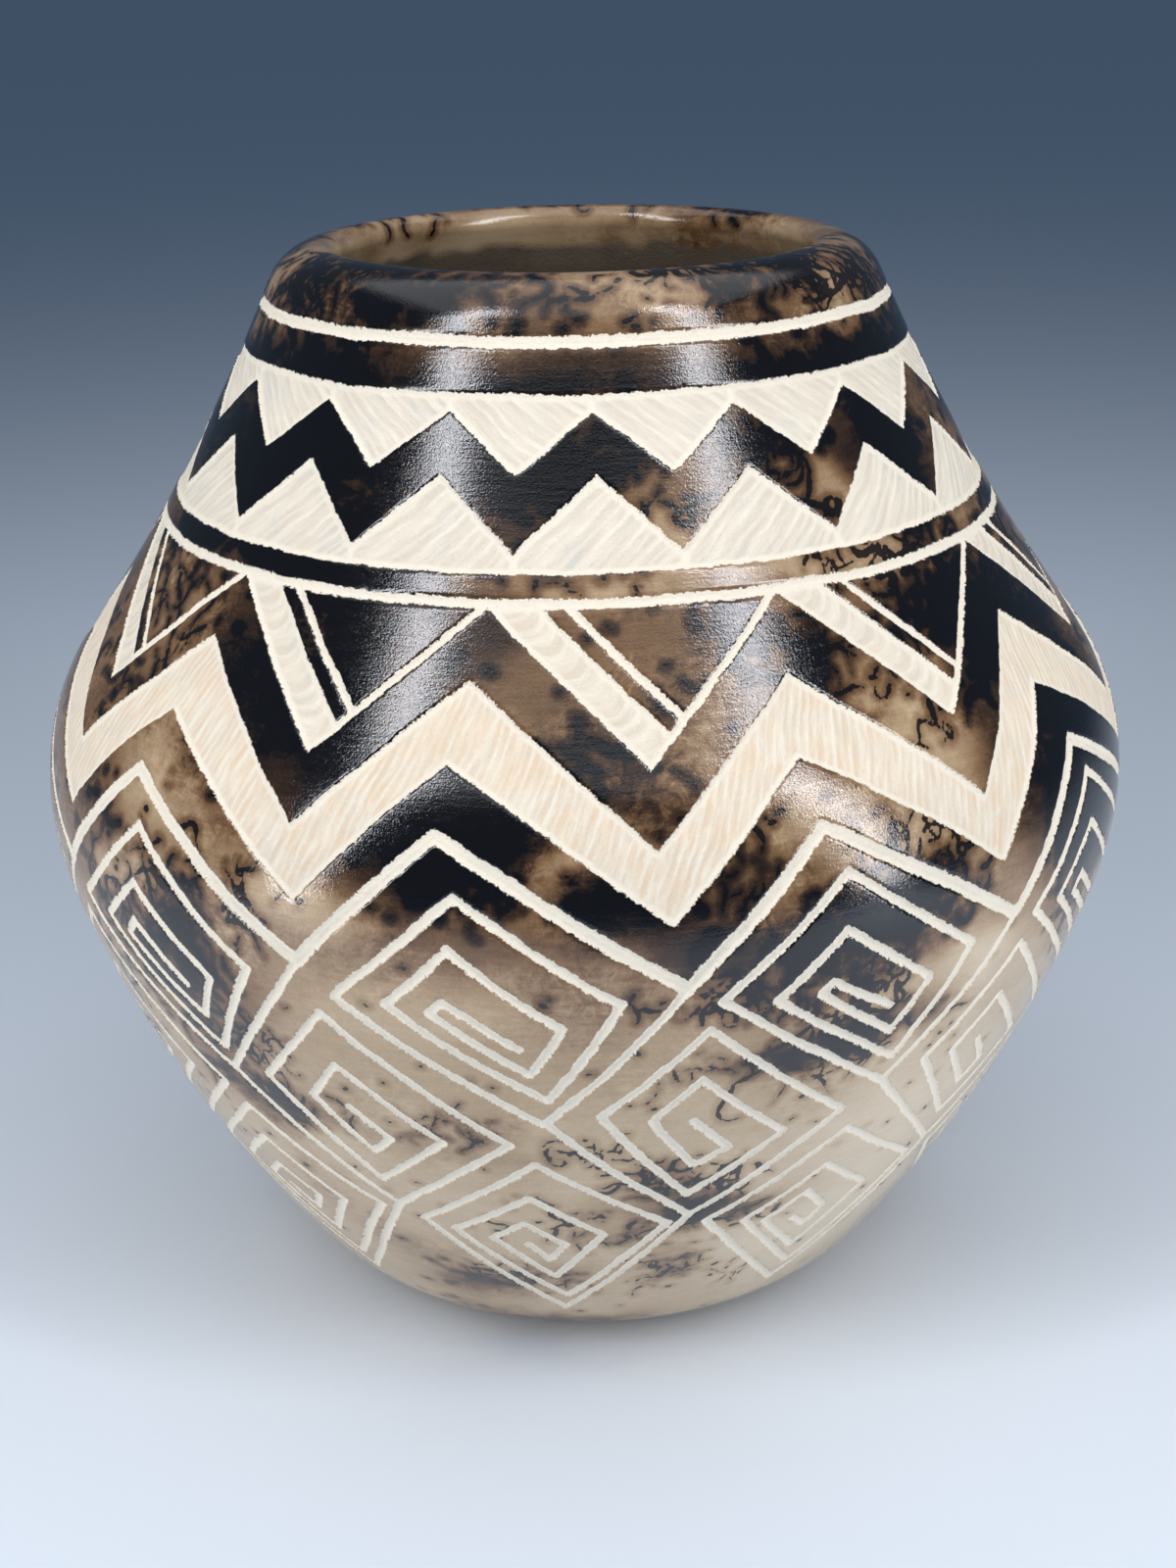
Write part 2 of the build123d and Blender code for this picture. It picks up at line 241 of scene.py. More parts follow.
class Outline:
    """The jar's section as one line of close points: from the middle of the foot up the outside, over
    the lip and down the inside to the middle of the floor. t is the length along it."""

    step = 0.05 * MM
    lip_rise = 8 * MM
    widest_wall = 16 * MM

    def __init__(self, shape):
        turns = (
            (shape.foot_arc_radius, shape.foot_arc_end),
            (shape.lower_arc_radius, shape.lower_arc_end),
            (shape.belly_arc_radius, math.pi / 2),
            (shape.shoulder_arc_radius, shape.shoulder_arc_end),
            (-shape.neck_hollow_radius, shape.neck_end),
            (shape.lip_outer_radius, math.pi),
            (shape.lip_inner_radius, math.pi + shape.neck_end),
        )
        self.arcs = []
        r, z, angle = shape.foot_radius, 0.0, 0.0
        for radius, end in turns:
            centre_r = r - radius * math.sin(angle)
            centre_z = z + radius * math.cos(angle)
            self.arcs.append((centre_r, centre_z, radius, angle, end))
            r = centre_r + radius * math.sin(end)
            z = centre_z - radius * math.cos(end)
            angle = end
        neck = len(turns) - 3
        runs = [self.foot_dent(shape), np.array([[shape.foot_radius], [0.0]])]
        starts = [0]
        for index, (*_, start, end) in enumerate(self.arcs):
            starts.append(sum(run.shape[1] for run in runs))
            runs.append(self.arc_run(index, start, end, 0.0))
        down = np.array([math.cos(angle), math.sin(angle)])
        straight = np.arange(0.0, shape.slip_inside_mouth, self.step)
        runs.append(runs[-1][:, -1:] + down[:, None] * straight)
        slip_end = sum(run.shape[1] for run in runs)
        thin = shape.neck_end + shape.neck_thinning * (shape.shoulder_arc_end - shape.neck_end)
        inner = self.arc_run(neck, thin, self.arcs[neck][3], shape.wall_thickness)
        runs.append(self.thinning(runs[-1][:, -1], down, inner[:, 0], thin))
        runs.append(inner)
        for index in range(neck - 1, -1, -1):
            start, end = self.arcs[index][3:]
            runs.append(self.arc_run(index, end, start, shape.wall_thickness))
        floor = np.linspace(shape.foot_radius, 0.0, 400)
        runs.append(np.stack([floor, np.full_like(floor, shape.wall_thickness)]))
        line = np.concatenate(runs, axis=1)
        gaps = np.hypot(*np.diff(line, axis=1))
        keep = np.r_[True, gaps > self.step * 0.01]
        t = np.r_[0.0, np.cumsum(gaps)]
        self.foot_t = t[starts[1]]
        self.neck_top_t = t[starts[neck + 2]]
        self.slip_end_t = t[slip_end]
        self.t = t[keep]
        self.r, self.z = line[:, keep]
        along_r = np.gradient(self.r, self.t)
        along_z = np.gradient(self.z, self.t)
        size = np.hypot(along_r, along_z)
        self.out_r = along_z / size
        self.out_z = -along_r / size
        self.neck_top = np.interp(self.neck_top_t, self.t, self.z)
        self.outside = (self.t >= self.foot_t) & (self.t <= self.neck_top_t + self.lip_rise)

    def arc_run(self, index, start, end, depth):
        """Points of an arc, at a depth under the outside: centre + (R - depth) (sin angle, -cos angle)."""
        centre_r, centre_z, radius = self.arcs[index][:3]
        count = 2 + int(abs((radius - depth) * (end - start)) / self.step)
        angle = np.linspace(start, end, count)
        reach = radius - depth
        return np.stack([centre_r + reach * np.sin(angle), centre_z - reach * np.cos(angle)])

    def foot_dent(self, shape):
        """The shallow hollow under the foot, an arc about a point far below it on the axis."""
        edge = shape.foot_radius - shape.foot_ring_width
        radius = (edge**2 + shape.foot_dent_depth**2) / (2 * shape.foot_dent_depth)
        r = np.linspace(0.0, edge, 500)
        return np.stack([r, shape.foot_dent_depth - radius + np.sqrt(radius**2 - r**2)])

    def thinning(self, start, start_way, end, end_angle):
        """The inside where the wall thins towards the mouth, a cubic with a slope at each end."""
        span = np.hypot(*(end - start))
        end_way = -np.array([math.cos(end_angle), math.sin(end_angle)])
        u = np.linspace(0.0, 1.0, 600)
        return (
            np.outer(start, 2 * u**3 - 3 * u**2 + 1)
            + np.outer(start_way * span, u**3 - 2 * u**2 + u)
            + np.outer(end, 3 * u**2 - 2 * u**3)
            + np.outer(end_way * span, u**3 - u**2)
        )

    def at(self, t):
        """(radius, height, outward r, outward z) at lengths along the line."""
        return [np.interp(t, self.t, values) for values in (self.r, self.z, self.out_r, self.out_z)]

    def t_at(self, height):
        """Where the outside reaches a height."""
        return np.interp(height, self.z[self.outside], self.t[self.outside])

    def across(self, t):
        """The place on the inside straight through the wall from a place on the outside."""
        r, z, out_r, out_z = self.at(t)
        inner = self.t > self.slip_end_t
        along = (self.r - r) * -out_z + (self.z - z) * out_r
        far = np.hypot(self.r - r, self.z - z)
        cost = np.abs(along) + np.where(inner & (far < self.widest_wall), 0.0, 1.0)
        return self.t[np.argmin(cost)]


def wrapped(angle):
    """An angle brought between minus and plus half a turn."""
    return (angle + math.pi) % TURN - math.pi


def segment_distance(x, y, start, end):
    """Distance to a straight piece: the point is dropped onto it and held between its ends."""
    dx, dy = end[0] - start[0], end[1] - start[1]
    along = np.clip(((x - start[0]) * dx + (y - start[1]) * dy) / (dx * dx + dy * dy), 0.0, 1.0)
    return np.hypot(x - start[0] - along * dx, y - start[1] - along * dy)


# The lozenges under each pendant, as (degrees right of the repeat, height share) of the bottom, left,
# top and right corners, the sides in the order that the line follows them, how much nearer to the middle
# each of these sides comes at every turn, how near the fourth side starts, and how many sides the line has.
# After the first turn every side comes a little nearer by the first step.
LOZENGES = (
    (
        ((-12.3, 0.365), (-31.2, 0.492), (-19.4, 0.589), (-4.0, 0.490)),
        (0, 1, 2, 3), (0.27, 0.30, 0.55, 0.22), 0.90, 11,
    ),
    (
        ((4.0, 0.232), (-8.0, 0.362), (3.1, 0.466), (20.0, 0.337)),
        (3, 2, 1, 0), (0.30, 0.50, 0.36, 0.28), 0.79, 10,
    ),
    (
        ((-12.4, 0.078), (-29.4, 0.217), (-13.8, 0.311), (2.0, 0.217)),
        (0, 1, 2, 3), (0.205, 0.29, 0.45, 0.28), 0.86, 13,
    ),
)
# The sides of a lozenge, lower left, upper left, upper right and lower right, as the way they face.
SIDES = ((-1, -1), (-1, 1), (1, 1), (1, -1))
FIRST_STEP = 0.06
# The line that runs down from each valley of the zigzag line, between the lozenges, after that valley.
VALLEY_LINE = ((-12.1, 0.365), (4.0, 0.232), (-12.4, 0.078))
VALLEY_LINE_MIDDLE = -4.0
# How far the strokes of neighbouring frames run into each other, how far a drawn corner slips, how far from
# a line its distance is still kept, and how many corners of a line can slip.
SEAM_OVERLAP = 0.35 * MM
CORNER_SLIP = 0.35 * MM
LINE_REACH = 9 * MM
MOST_CORNERS = 15


class Scraping:
    """Where the slip is scraped away. Distances are positive inside the scraped places. Each figure is
    drawn straight in a flat frame about its own azimuth c: x = r sin(azimuth - c), y = length up the
    wall."""

    def __init__(self, pattern, outline):
        self.pattern = pattern
        self.outline = outline
        self.figures = list(self.figure_lines())
        shape = (pattern.repeat_count * len(LOZENGES), MOST_CORNERS, 2)
        self.slips = np.random.default_rng(23).normal(0.0, CORNER_SLIP, shape)

    def azimuth(self, even, gather):
        """Azimuth on the jar of a place on an even round, whose repeats are drawn towards the front."""
        return even - gather * np.sin(even - self.pattern.gather_azimuth)

    def t(self, height_share):
        """Length up the wall of a height share."""
        return self.outline.t_at(height_share * self.outline.neck_top)

    def swayed(self, azimuth):
        """How far up the zigzags were drawn at an azimuth: 0.4 - sin(2 azimuth), times the sway."""
        return self.pattern.sway * (0.4 - np.sin(2 * azimuth))

    def chain(self, azimuth, t, radius, first, count, tip_share, middle_share, lean=0.0, gather=None):
        """A zigzag line with its tips on the repeats. Gives the distance above it, the two arms' own
        distances, the place in the flat frame, the arms' ends, and the distance to the next frame, a
        little more than nothing where the frames meet, so that no stroke of the scraper crosses there."""
        step = TURN / count
        numbers = np.arange(-1, count + 1)
        gather = self.pattern.gather if gather is None else gather
        tips = self.azimuth(first + numbers * step, gather)
        middles = self.azimuth(first + (numbers + 0.5) * step - lean, gather)
        turned = (azimuth - middles[0]) % TURN + middles[0]
        index = np.clip(np.searchsorted(middles, turned), 1, count)
        tip = tips[index]
        x = radius * np.sin(turned - tip)
        tip_t, middle_t = self.t(tip_share), self.t(middle_share)
        middle_r = self.outline.at(middle_t)[0]
        y = t - tip_t
        rise = middle_t - tip_t
        left = middle_r * np.sin(middles[index - 1] - tip)
        right = middle_r * np.sin(middles[index] - tip)
        side = np.where(x < 0, left, right)
        distance = np.minimum(
            segment_distance(x, y, (0.0, 0.0), (left, rise)),
            segment_distance(x, y, (0.0, 0.0), (right, rise)),
        )
        arms = [(x * rise - y * end) / np.hypot(rise, end) for end in (left, right)]
        seam = radius * np.minimum(turned - middles[index - 1], middles[index] - turned) + SEAM_OVERLAP
        return np.where(y > rise * x / side, distance, -distance), arms, x, y, (left, right, rise), seam

    def survey(self, azimuth, t, place):
        """The distance inside the scraped places, the phase of the scraper's strokes and the blush."""
        pattern = self.pattern
        shake = [layered_noise(place, 12 * MM, seed, 2) * 0.34 * MM for seed in (31, 37)]
        radius = self.outline.at(t)[0]
        azimuth = azimuth + shake[0] / np.maximum(radius, 20 * MM)
        t = t + shake[1]
        radius = self.outline.at(t)[0]
        found = []

        def add(distance, stroke=0.0, blush=0.0):
            found.append((distance, stroke, blush))

        for line_share, width in (
            (pattern.ring_line_1, pattern.ring_line_1_width),
            (pattern.ring_line_2, pattern.ring_line_2_width),
        ):
            add(width / 2 - np.abs(t - self.t(line_share)))
        self.sawteeth(azimuth, t, radius, add)
        self.pendants(azimuth, t, radius, add)
        self.zigzags(azimuth, t, radius, add)
        add(self.lozenges(azimuth, t, radius))
        distances, strokes, blushes = zip(*found)
        choice = np.argmax(distances, axis=0)
        stroke = np.choose(choice, strokes)
        stroke = stroke + layered_noise(place, 8 * MM, 83, 2) * 0.45 + clay_noise(place, 2.4 * MM, 84) * 0.10
        beads = clay_noise(place, 1.5 * MM, 41) * 0.12 * MM + clay_noise(place, 0.8 * MM, 43) * 0.13 * MM
        return np.max(distances, axis=0) + beads, stroke, np.choose(choice, blushes)

    def sawteeth(self, azimuth, t, radius, add):
        """Hanging and standing scraped triangles on both sides of a dark zigzag. The strokes follow the
        left arm, and bow by 0.005 y^2 or 0.005 x^2, in millimetres."""
        pattern = self.pattern
        count = pattern.sawtooth_count
        first = pattern.first_sawtooth
        spacing, bow = 1.75 * MM, 0.005 / MM
        above, arms, _, y, _, seam = self.chain(
            azimuth, t, radius, first, count, pattern.sawtooth_upper_tip, pattern.sawtooth_upper_peak
        )
        band = self.t(pattern.sawtooth_top) - t
        add(np.minimum(np.minimum(above, band), seam), (arms[0] + bow * y * y) / spacing)
        first = first + TURN / count / 2
        above, arms, x, _, _, seam = self.chain(
            azimuth, t, radius, first, count, pattern.sawtooth_lower_peak, pattern.sawtooth_lower_tip
        )
        band = t - self.t(pattern.sawtooth_bottom)
        add(np.minimum(np.minimum(-above, band), seam), (arms[0] - bow * x * x) / spacing)

    def pendants(self, azimuth, t, radius, add):
        """Hanging triangles: a scalloped stripe on the left, a thin line on the right and another inside.
        The stripe's strokes cross it and bow by 0.18 of the square of the way from its middle line."""
        pattern = self.pattern
        top_share = pattern.ring_line_2 - pattern.ring_line_2_width / 2 / self.outline.neck_top
        _, arms, x, y, (left, _, rise), _ = self.chain(
            azimuth, t, radius, pattern.first_repeat, pattern.repeat_count, pattern.pendant_tip, top_share
        )
        from_left, from_right = arms[0], -arms[1]
        top = self.t(top_share) - t
        inside = np.minimum(from_left, from_right)
        stripe = pattern.pendant_stripe_width
        strip = stripe + pattern.pendant_strip_width
        inner = strip + pattern.pendant_line_width
        arm = from_right - pattern.pendant_line_width
        island = np.minimum(arm, top)
        dark_strip = np.minimum(np.minimum(from_left - stripe, strip - from_left), island)
        dark_middle = np.minimum(from_left - inner, island)
        whole = np.minimum(inside, top + pattern.ring_line_2_width / 2)
        scraped = np.minimum(whole, -np.maximum(dark_strip, dark_middle))
        along = (x * left + y * rise) / np.hypot(left, rise)
        bow = (from_left - stripe * 0.5) ** 2 * 0.18 / MM
        add(scraped, (along - bow) / (2.5 * MM) + 0.5, 0.26)

    def zigzags(self, azimuth, t, radius, add):
        """The wide scraped zigzag and the line that follows it over the lozenges."""
        pattern = self.pattern
        first, count = pattern.first_repeat, pattern.repeat_count
        t = t - self.swayed(azimuth)
        lag, lean = pattern.wide_lower_lag, pattern.wide_lean
        upper, _, _, y, _, _ = self.chain(
            azimuth, t, radius, first, count, pattern.wide_upper_valley, pattern.wide_upper_peak, lean
        )
        lower = self.chain(
            azimuth, t, radius, first + lag, count,
            pattern.wide_lower_valley, pattern.wide_lower_peak, lean + 2 * lag,
        )[0]
        turned = wrapped(azimuth)
        seam = radius * (math.pi - np.abs(turned)) + SEAM_OVERLAP
        strokes = turned / TURN * pattern.stroke_count - 0.2125 * y / MM
        add(np.minimum(np.minimum(-upper, lower), seam), strokes, 1.0)
        line = self.chain(
            azimuth, t, radius, first + pattern.line_lag, count,
            pattern.line_valley, pattern.line_peak, pattern.line_lean, pattern.lower_gather,
        )[0]
        add(pattern.line_width / 2 - np.abs(line))

    def figure_lines(self):
        """The lines of one repeat, each as its corners, in degrees and height shares, the middle's
        degrees and its row of LOZENGES, or none. In a lozenge whose corners lie at (0, -1), (-1, 0),
        (0, 1) and (1, 0), a side lies s = start from the middle in the first turn of the line and
        s = start - first step - turn * rate later. The corner between two sides is half the sum of s
        times the way that each faces."""
        pattern = self.pattern
        valley = math.degrees(pattern.line_lag - pattern.lozenge_lag), pattern.line_valley
        yield np.array((valley, *VALLEY_LINE)), VALLEY_LINE_MIDDLE, None
        for row, (corners, order, rates, fourth, count) in enumerate(LOZENGES):
            middle = np.mean(corners, axis=0)
            bottom, left, top, right = np.array(corners) - middle
            sides = [np.array(SIDES[order[3]], float)]
            for number in range(count + 1):
                turn, which = divmod(number, 4)
                start = fourth if which == 3 else 1.0
                nearness = start - (FIRST_STEP + rates[which] * turn if turn else 0.0)
                sides.append(nearness * np.array(SIDES[order[which]]))
            line = []
            for before, after in zip(sides, sides[1:]):
                across, up = (before + after) / 2
                beside = right if across > 0 else left
                beyond = top if up > 0 else bottom
                line.append(middle + abs(across) * beside + abs(up) * beyond)
            yield np.array(line), middle[0], row

    def lozenges(self, azimuth, t, radius):
        """Lines that wind into the lozenges, and the line between them from each valley. The distance
        inside a line is half its width less the distance to the nearest of its straight pieces."""
        pattern = self.pattern
        best = np.full(t.shape, LINE_REACH)
        if t.min() > self.t(pattern.line_peak) + 4 * MM:
            return -best
        middle_row = azimuth[len(azimuth) // 2]
        for repeat in range(pattern.repeat_count):
            even = pattern.first_repeat + pattern.lozenge_lag + repeat * TURN / pattern.repeat_count
            for line, middle_angle, row in self.figures:
                centre = self.azimuth(even + math.radians(middle_angle), pattern.lower_gather)
                angles = self.azimuth(even + np.radians(line[:, 0]), pattern.lower_gather) - centre
                corner_t = self.t(line[:, 1])
                if row is None:
                    corner_t[0] += self.swayed(angles[0] + centre)
                xs = self.outline.at(corner_t)[0] * np.sin(angles)
                if row is not None:
                    slips = self.slips[repeat * len(LOZENGES) + row][1 : len(line)]
                    xs[1:] += slips[:, 0]
                    corner_t[1:] += slips[:, 1]
                columns = np.abs(wrapped(middle_row - centre)) < np.abs(angles).max() + 0.06
                x = radius[:, columns] * np.sin(azimuth[:, columns] - centre)
                y = t[:, columns]
                near = best[:, columns]
                ends = list(zip(xs, corner_t))
                for start, end in zip(ends, ends[1:]):
                    near = np.minimum(near, segment_distance(x, y, start, end))
                best[:, columns] = near
        return pattern.lozenge_line_width / 2 - best


# Clouds of smoke on the front, each as (azimuth in degrees, height, half width in degrees, half height,
# how much it darkens), with heights in millimetres. Less than nothing lightens. The cloud at (-8, 8)
# is painted shadow where the front of the foot meets the floor.
CLOUDS = (
    (-60, 193, 20, 9, 0.10), (-33, 192, 11, 7, 0.34), (-15, 193, 9, 6, 0.06), (-7, 188, 6, 4, 0.08),
    (-74, 189, 9, 6, -0.34), (12, 194, 14, 8, -0.14), (48, 197, 10, 5, 0.16), (54, 189, 7, 4, -0.28),
    (-64, 182, 12, 4, -0.06), (46, 182, 22, 4, 0.12), (2, 182, 8, 4, 0.05), (-50, 166, 32, 14, 0.36),
    (-10, 168, 11, 9, 0.30), (8, 172, 7, 4, 0.06), (11, 159, 6, 6, -0.25), (31, 189, 7, 4, 0.16),
    (29, 166, 4, 4, -0.14), (29, 167, 7, 8, 0.06), (-50, 104, 6, 4, -0.16), (36, 161, 5, 5, -0.24),
    (52, 167, 10, 14, 0.42), (-62, 152, 16, 3, 0.14), (-36, 152, 13, 3, 0.36), (-11, 152, 7, 3, -0.10),
    (7, 152, 14, 3, -0.03), (0, 152, 6, 3, -0.18), (33, 152, 14, 3, -0.28), (-51, 138, 4, 4, -0.18),
    (57, 152, 10, 3, -0.24), (-31, 138, 16, 18, 0.41), (-56, 144, 9, 8, -0.06), (-48, 122, 6, 8, -0.30),
    (-10, 144, 5, 7, 0.16), (4, 146, 7, 5, 0.04), (3, 130, 10, 7, 0.16), (7, 121, 4, 4, 0.06),
    (13, 130, 4, 4, -0.16), (25, 138, 6, 6, 0.18), (36, 126, 9, 7, -0.32), (48, 140, 9, 10, 0.20),
    (62, 125, 16, 26, 0.40), (-15, 122, 10, 9, 0.70), (3, 109, 7, 6, 0.42), (9, 101, 5, 4, 0.38),
    (-13, 104, 6, 4, 0.14), (20, 121, 5, 5, -0.20), (13, 112, 5, 6, 0.16), (32, 114, 8, 5, -0.26),
    (-39, 115, 10, 6, -0.12), (-27, 107, 8, 5, -0.22), (-57, 108, 7, 10, 0.16), (-42, 92, 9, 11, 0.28),
    (-50, 104, 5, 5, -0.10), (22, 102, 11, 5, 0.34), (33, 101, 7, 7, 0.44), (20, 93, 6, 6, 0.22),
    (39, 90, 5, 7, -0.24), (28, 88, 5, 3, -0.10), (-18, 92, 9, 6, -0.10), (0, 92, 8, 9, 0.06),
    (24, 80, 10, 4, 0.60), (58, 105, 10, 14, 0.46), (-36, 63, 7, 8, 0.46), (-14, 68, 5, 5, 0.16),
    (-44, 72, 7, 12, 0.26), (-20, 62, 7, 4, 0.12), (-6, 62, 7, 3, 0.12), (14, 46, 8, 5, 0.46),
    (4, 48, 8, 6, 0.20), (5, 56, 6, 4, 0.12), (3, 38, 8, 4, 0.16), (-18, 20, 8, 5, 0.44),
    (-24, 30, 7, 8, 0.16), (-34, 38, 8, 12, 0.10), (-5, 25, 7, 4, 0.20), (11, 28, 6, 6, 0.16),
    # The first cloud on the next line, (-8, 8, 16, 4, 0.52), is painted shadow where the front of the foot
    # meets the floor.
    (-8, 8, 16, 4, 0.52), (42, 60, 18, 34, -0.18), (30, 28, 14, 14, -0.18), (-21, 129, 3, 4, -0.10),
    (-17, 98, 8, 7, 0.04), (-17, 110, 5, 4, 0.26), (-2, 115, 4, 3, -0.26), (38, 104, 4, 4, -0.20),
)

# Tangles of burnt hair, each as (azimuth, height, half width in degrees, half height, number of hairs,
# length, curl, half thickness, how steadily they hang), with lengths in millimetres. Over the neck the
# height goes on along the lip.
TANGLES = (
    (47, 197, 8, 6, 44, 9, 0.42, 0.66, 0.3), (62, 194, 9, 7, 22, 12, 0.22, 0.52, 0.7),
    (33, 198, 8, 4, 14, 8, 0.5, 0.55, 0.5), (20, 199, 7, 2, 10, 4, 0.5, 0.62, 0.4),
    (0, 193, 9, 4, 5, 4, 0.4, 0.50, 0.0), (-22, 196, 8, 5, 12, 6, 0.35, 0.42, 0.2),
    (-37, 195, 9, 6, 20, 8, 0.30, 0.46, 0.0), (-58, 194, 15, 7, 58, 9, 0.40, 0.52, 0.3),
    (175, 200, 24, 2, 5, 4, 0.4, 0.45, 0.0), (138, 201, 9, 3, 12, 5, 0.3, 0.55, 0.2),
    (240, 200, 8, 3, 6, 5, 0.3, 0.5, 0.2), (48, 181, 15, 4, 18, 8, 0.25, 0.46, 0.6),
    (-50, 181, 15, 4, 16, 5, 0.35, 0.40, 0.0), (6, 168, 7, 6, 26, 6, 0.35, 0.56, 0.2),
    (-6, 168, 6, 6, 12, 5, 0.35, 0.50, 0.2), (14, 163, 4, 3, 6, 5, 0.35, 0.50, 0.4),
    (30, 172, 5, 5, 14, 8, 0.30, 0.56, 0.3), (32, 160, 7, 3, 14, 8, 0.35, 0.56, 0.3),
    (-52, 164, 16, 10, 24, 6, 0.35, 0.40, 0.2), (31, 152, 4, 1.5, 5, 6, 0.30, 0.40, 0.0),
    (44, 151, 10, 2, 18, 8, 0.35, 0.56, 0.2), (-60, 152, 14, 2, 12, 7, 0.30, 0.40, 0.0),
    (0, 152, 10, 1.5, 7, 3, 0.30, 0.40, 0.0), (42, 144, 6, 5, 22, 7, 0.38, 0.60, 0.4),
    (50, 140, 4, 10, 18, 8, 0.35, 0.60, 0.6), (17, 144, 3, 4, 26, 3.5, 0.30, 0.40, 0.1),
    (25, 138, 5, 6, 34, 7, 0.20, 0.34, -0.1), (36, 128, 6, 5, 14, 4, 0.40, 0.40, 0.0),
    (-57, 142, 8, 11, 22, 9, 0.25, 0.44, 0.5), (-62, 130, 6, 7, 10, 8, 0.25, 0.44, 0.5),
    (0, 130, 10, 7, 22, 3, 0.35, 0.38, 0.0), (-7, 110, 8, 4, 16, 4, 0.40, 0.42, 0.0),
    (13, 113, 4, 8, 16, 4, 0.35, 0.42, 0.0), (29, 112, 6, 5, 22, 7, 0.26, 0.40, 0.1),
    (36, 106, 4, 6, 18, 8, 0.34, 0.50, 0.3), (24, 102, 7, 5, 30, 7, 0.36, 0.52, 0.1),
    (27, 90, 7, 8, 34, 8, 0.40, 0.46, 0.2), (15, 92, 5, 7, 20, 7, 0.40, 0.44, 0.2),
    (9, 94, 4, 4, 10, 5, 0.40, 0.44, 0.0), (22, 79, 9, 4, 26, 10, 0.26, 0.40, -0.6),
    (9, 79, 4, 3, 6, 4, 0.30, 0.36, 0.0), (-41, 103, 10, 8, 34, 7, 0.36, 0.50, 0.2),
    (-45, 90, 8, 10, 44, 9, 0.34, 0.48, 0.5), (-31, 103, 6, 4, 12, 5, 0.36, 0.42, 0.0),
    (-38, 74, 7, 10, 34, 9, 0.28, 0.44, 0.4), (-54, 92, 6, 20, 26, 9, 0.28, 0.48, 0.4),
    (56, 100, 7, 14, 26, 9, 0.30, 0.46, 0.4), (-31, 66, 5, 5, 14, 6, 0.36, 0.34, 0.0),
    (-13, 66, 4, 5, 9, 6, 0.30, 0.28, 0.2), (0, 62, 5, 3, 14, 5, 0.36, 0.34, 0.0),
    (7, 54, 5, 5, 30, 5, 0.42, 0.42, 0.0), (15, 53, 3, 3, 18, 5, 0.45, 0.50, 0.0),
    (11, 45, 5, 3, 20, 5, 0.42, 0.44, 0.0), (20, 41, 4, 3, 8, 5, 0.36, 0.38, 0.0),
    (-4, 44, 5, 4, 12, 4, 0.36, 0.36, 0.0), (-16, 25, 6, 4, 16, 6, 0.30, 0.36, -0.6),
    (-8, 26, 5, 5, 9, 6, 0.34, 0.28, 0.0), (11, 27, 4, 5, 20, 5, 0.42, 0.32, 0.0),
    (22, 22, 4, 3, 8, 4, 0.40, 0.32, 0.0), (2, 38, 4, 3, 8, 5, 0.40, 0.34, 0.0),
)

# Single thick hairs, each as (azimuth, height, heading in degrees, bend in degrees a millimetre, swing in
# degrees, length, half thickness), with lengths in millimetres.
HAIRS = (
    (-8.4, 200, -96, 0, 62, 13, 0.66), (8.6, 197, -150, 3, 25, 6, 0.40),
    (3.6, 193, -172, 0, 12, 2.5, 0.55), (-1.2, 193, -165, 0, 15, 2.2, 0.60),
    (11.5, 200, -100, 32, 0, 11, 0.60), (16.5, 198, -150, 5, 20, 4, 0.50),
    (22.0, 200, -20, 0, 40, 4, 0.75), (24.0, 199, -100, 0, 48, 12, 0.55),
    (27.5, 199, -55, 6, 45, 9, 0.50), (31.0, 200, -85, -4, 55, 10, 0.58),
    (33.5, 201, -30, 38, 0, 8, 0.50), (37.0, 201, -130, 30, 10, 9, 0.52),
    (41.0, 200, -70, 0, 60, 12, 0.55), (58.0, 201, -78, 3, 30, 13, 0.55),
    (66.0, 200, -72, 0, 35, 13, 0.55), (-52.0, 200, -60, 8, 50, 11, 0.50),
    (-44.0, 201, -120, -6, 50, 11, 0.48), (28.0, 174, -20, -28, 0, 9, 0.60),
    (33.0, 173, -100, 14, 0, 9, 0.55), (30.0, 161, -30, 20, 30, 10, 0.60),
    (3.0, 173, -60, 10, 40, 8, 0.60), (41.0, 146, -140, 20, 30, 9, 0.66),
    (47.0, 147, -100, 6, 50, 10, 0.60), (37.0, 110, -40, 12, 60, 9, 0.50),
    (36.5, 104, -150, -14, 40, 10, 0.50), (18.0, 83, 12, 0, 28, 15, 0.42),
    (14.0, 76, 20, -3, 24, 14, 0.46), (26.0, 88, -100, 20, 30, 8, 0.46),
    (29.0, 96, -60, -16, 40, 9, 0.44), (-45.0, 106, -60, 6, 40, 12, 0.52),
    (-40.0, 97, -120, 12, 50, 11, 0.50), (-48.0, 88, -80, -10, 40, 10, 0.50),
    (-60.0, 146, -70, 2, 30, 16, 0.48), (-55.0, 134, -110, 5, 40, 10, 0.44),
    (15.5, 54, 0, 42, 20, 9, 0.60), (11.0, 44, 10, -30, 30, 7, 0.60), (5.0, 54, -60, 24, 30, 6, 0.50),
    (-36.0, 68, -70, 3, 30, 12, 0.44),
)


# The mean tone of the smoke, as (height in millimetres, tone).
TONES = (
    (0, 0.23), (60, 0.22), (88, 0.35), (104, 0.50), (125, 0.58),
    (150, 0.58), (176, 0.72), (180, 0.86), (185, 0.66), (195, 0.53),
)


# Clouds, tangles and short burnt specks that are drawn at random, millimetres from point to point of a
# tangled and of a single hair, and how far round a hair its distance is worked out.
RANDOM_CLOUDS = 56
RANDOM_TANGLES = 84
SPECKS = 1300
HAIR_STEP = 0.5
THICK_HAIR_STEP = 0.4
HAIR_REACH = 2 * MM


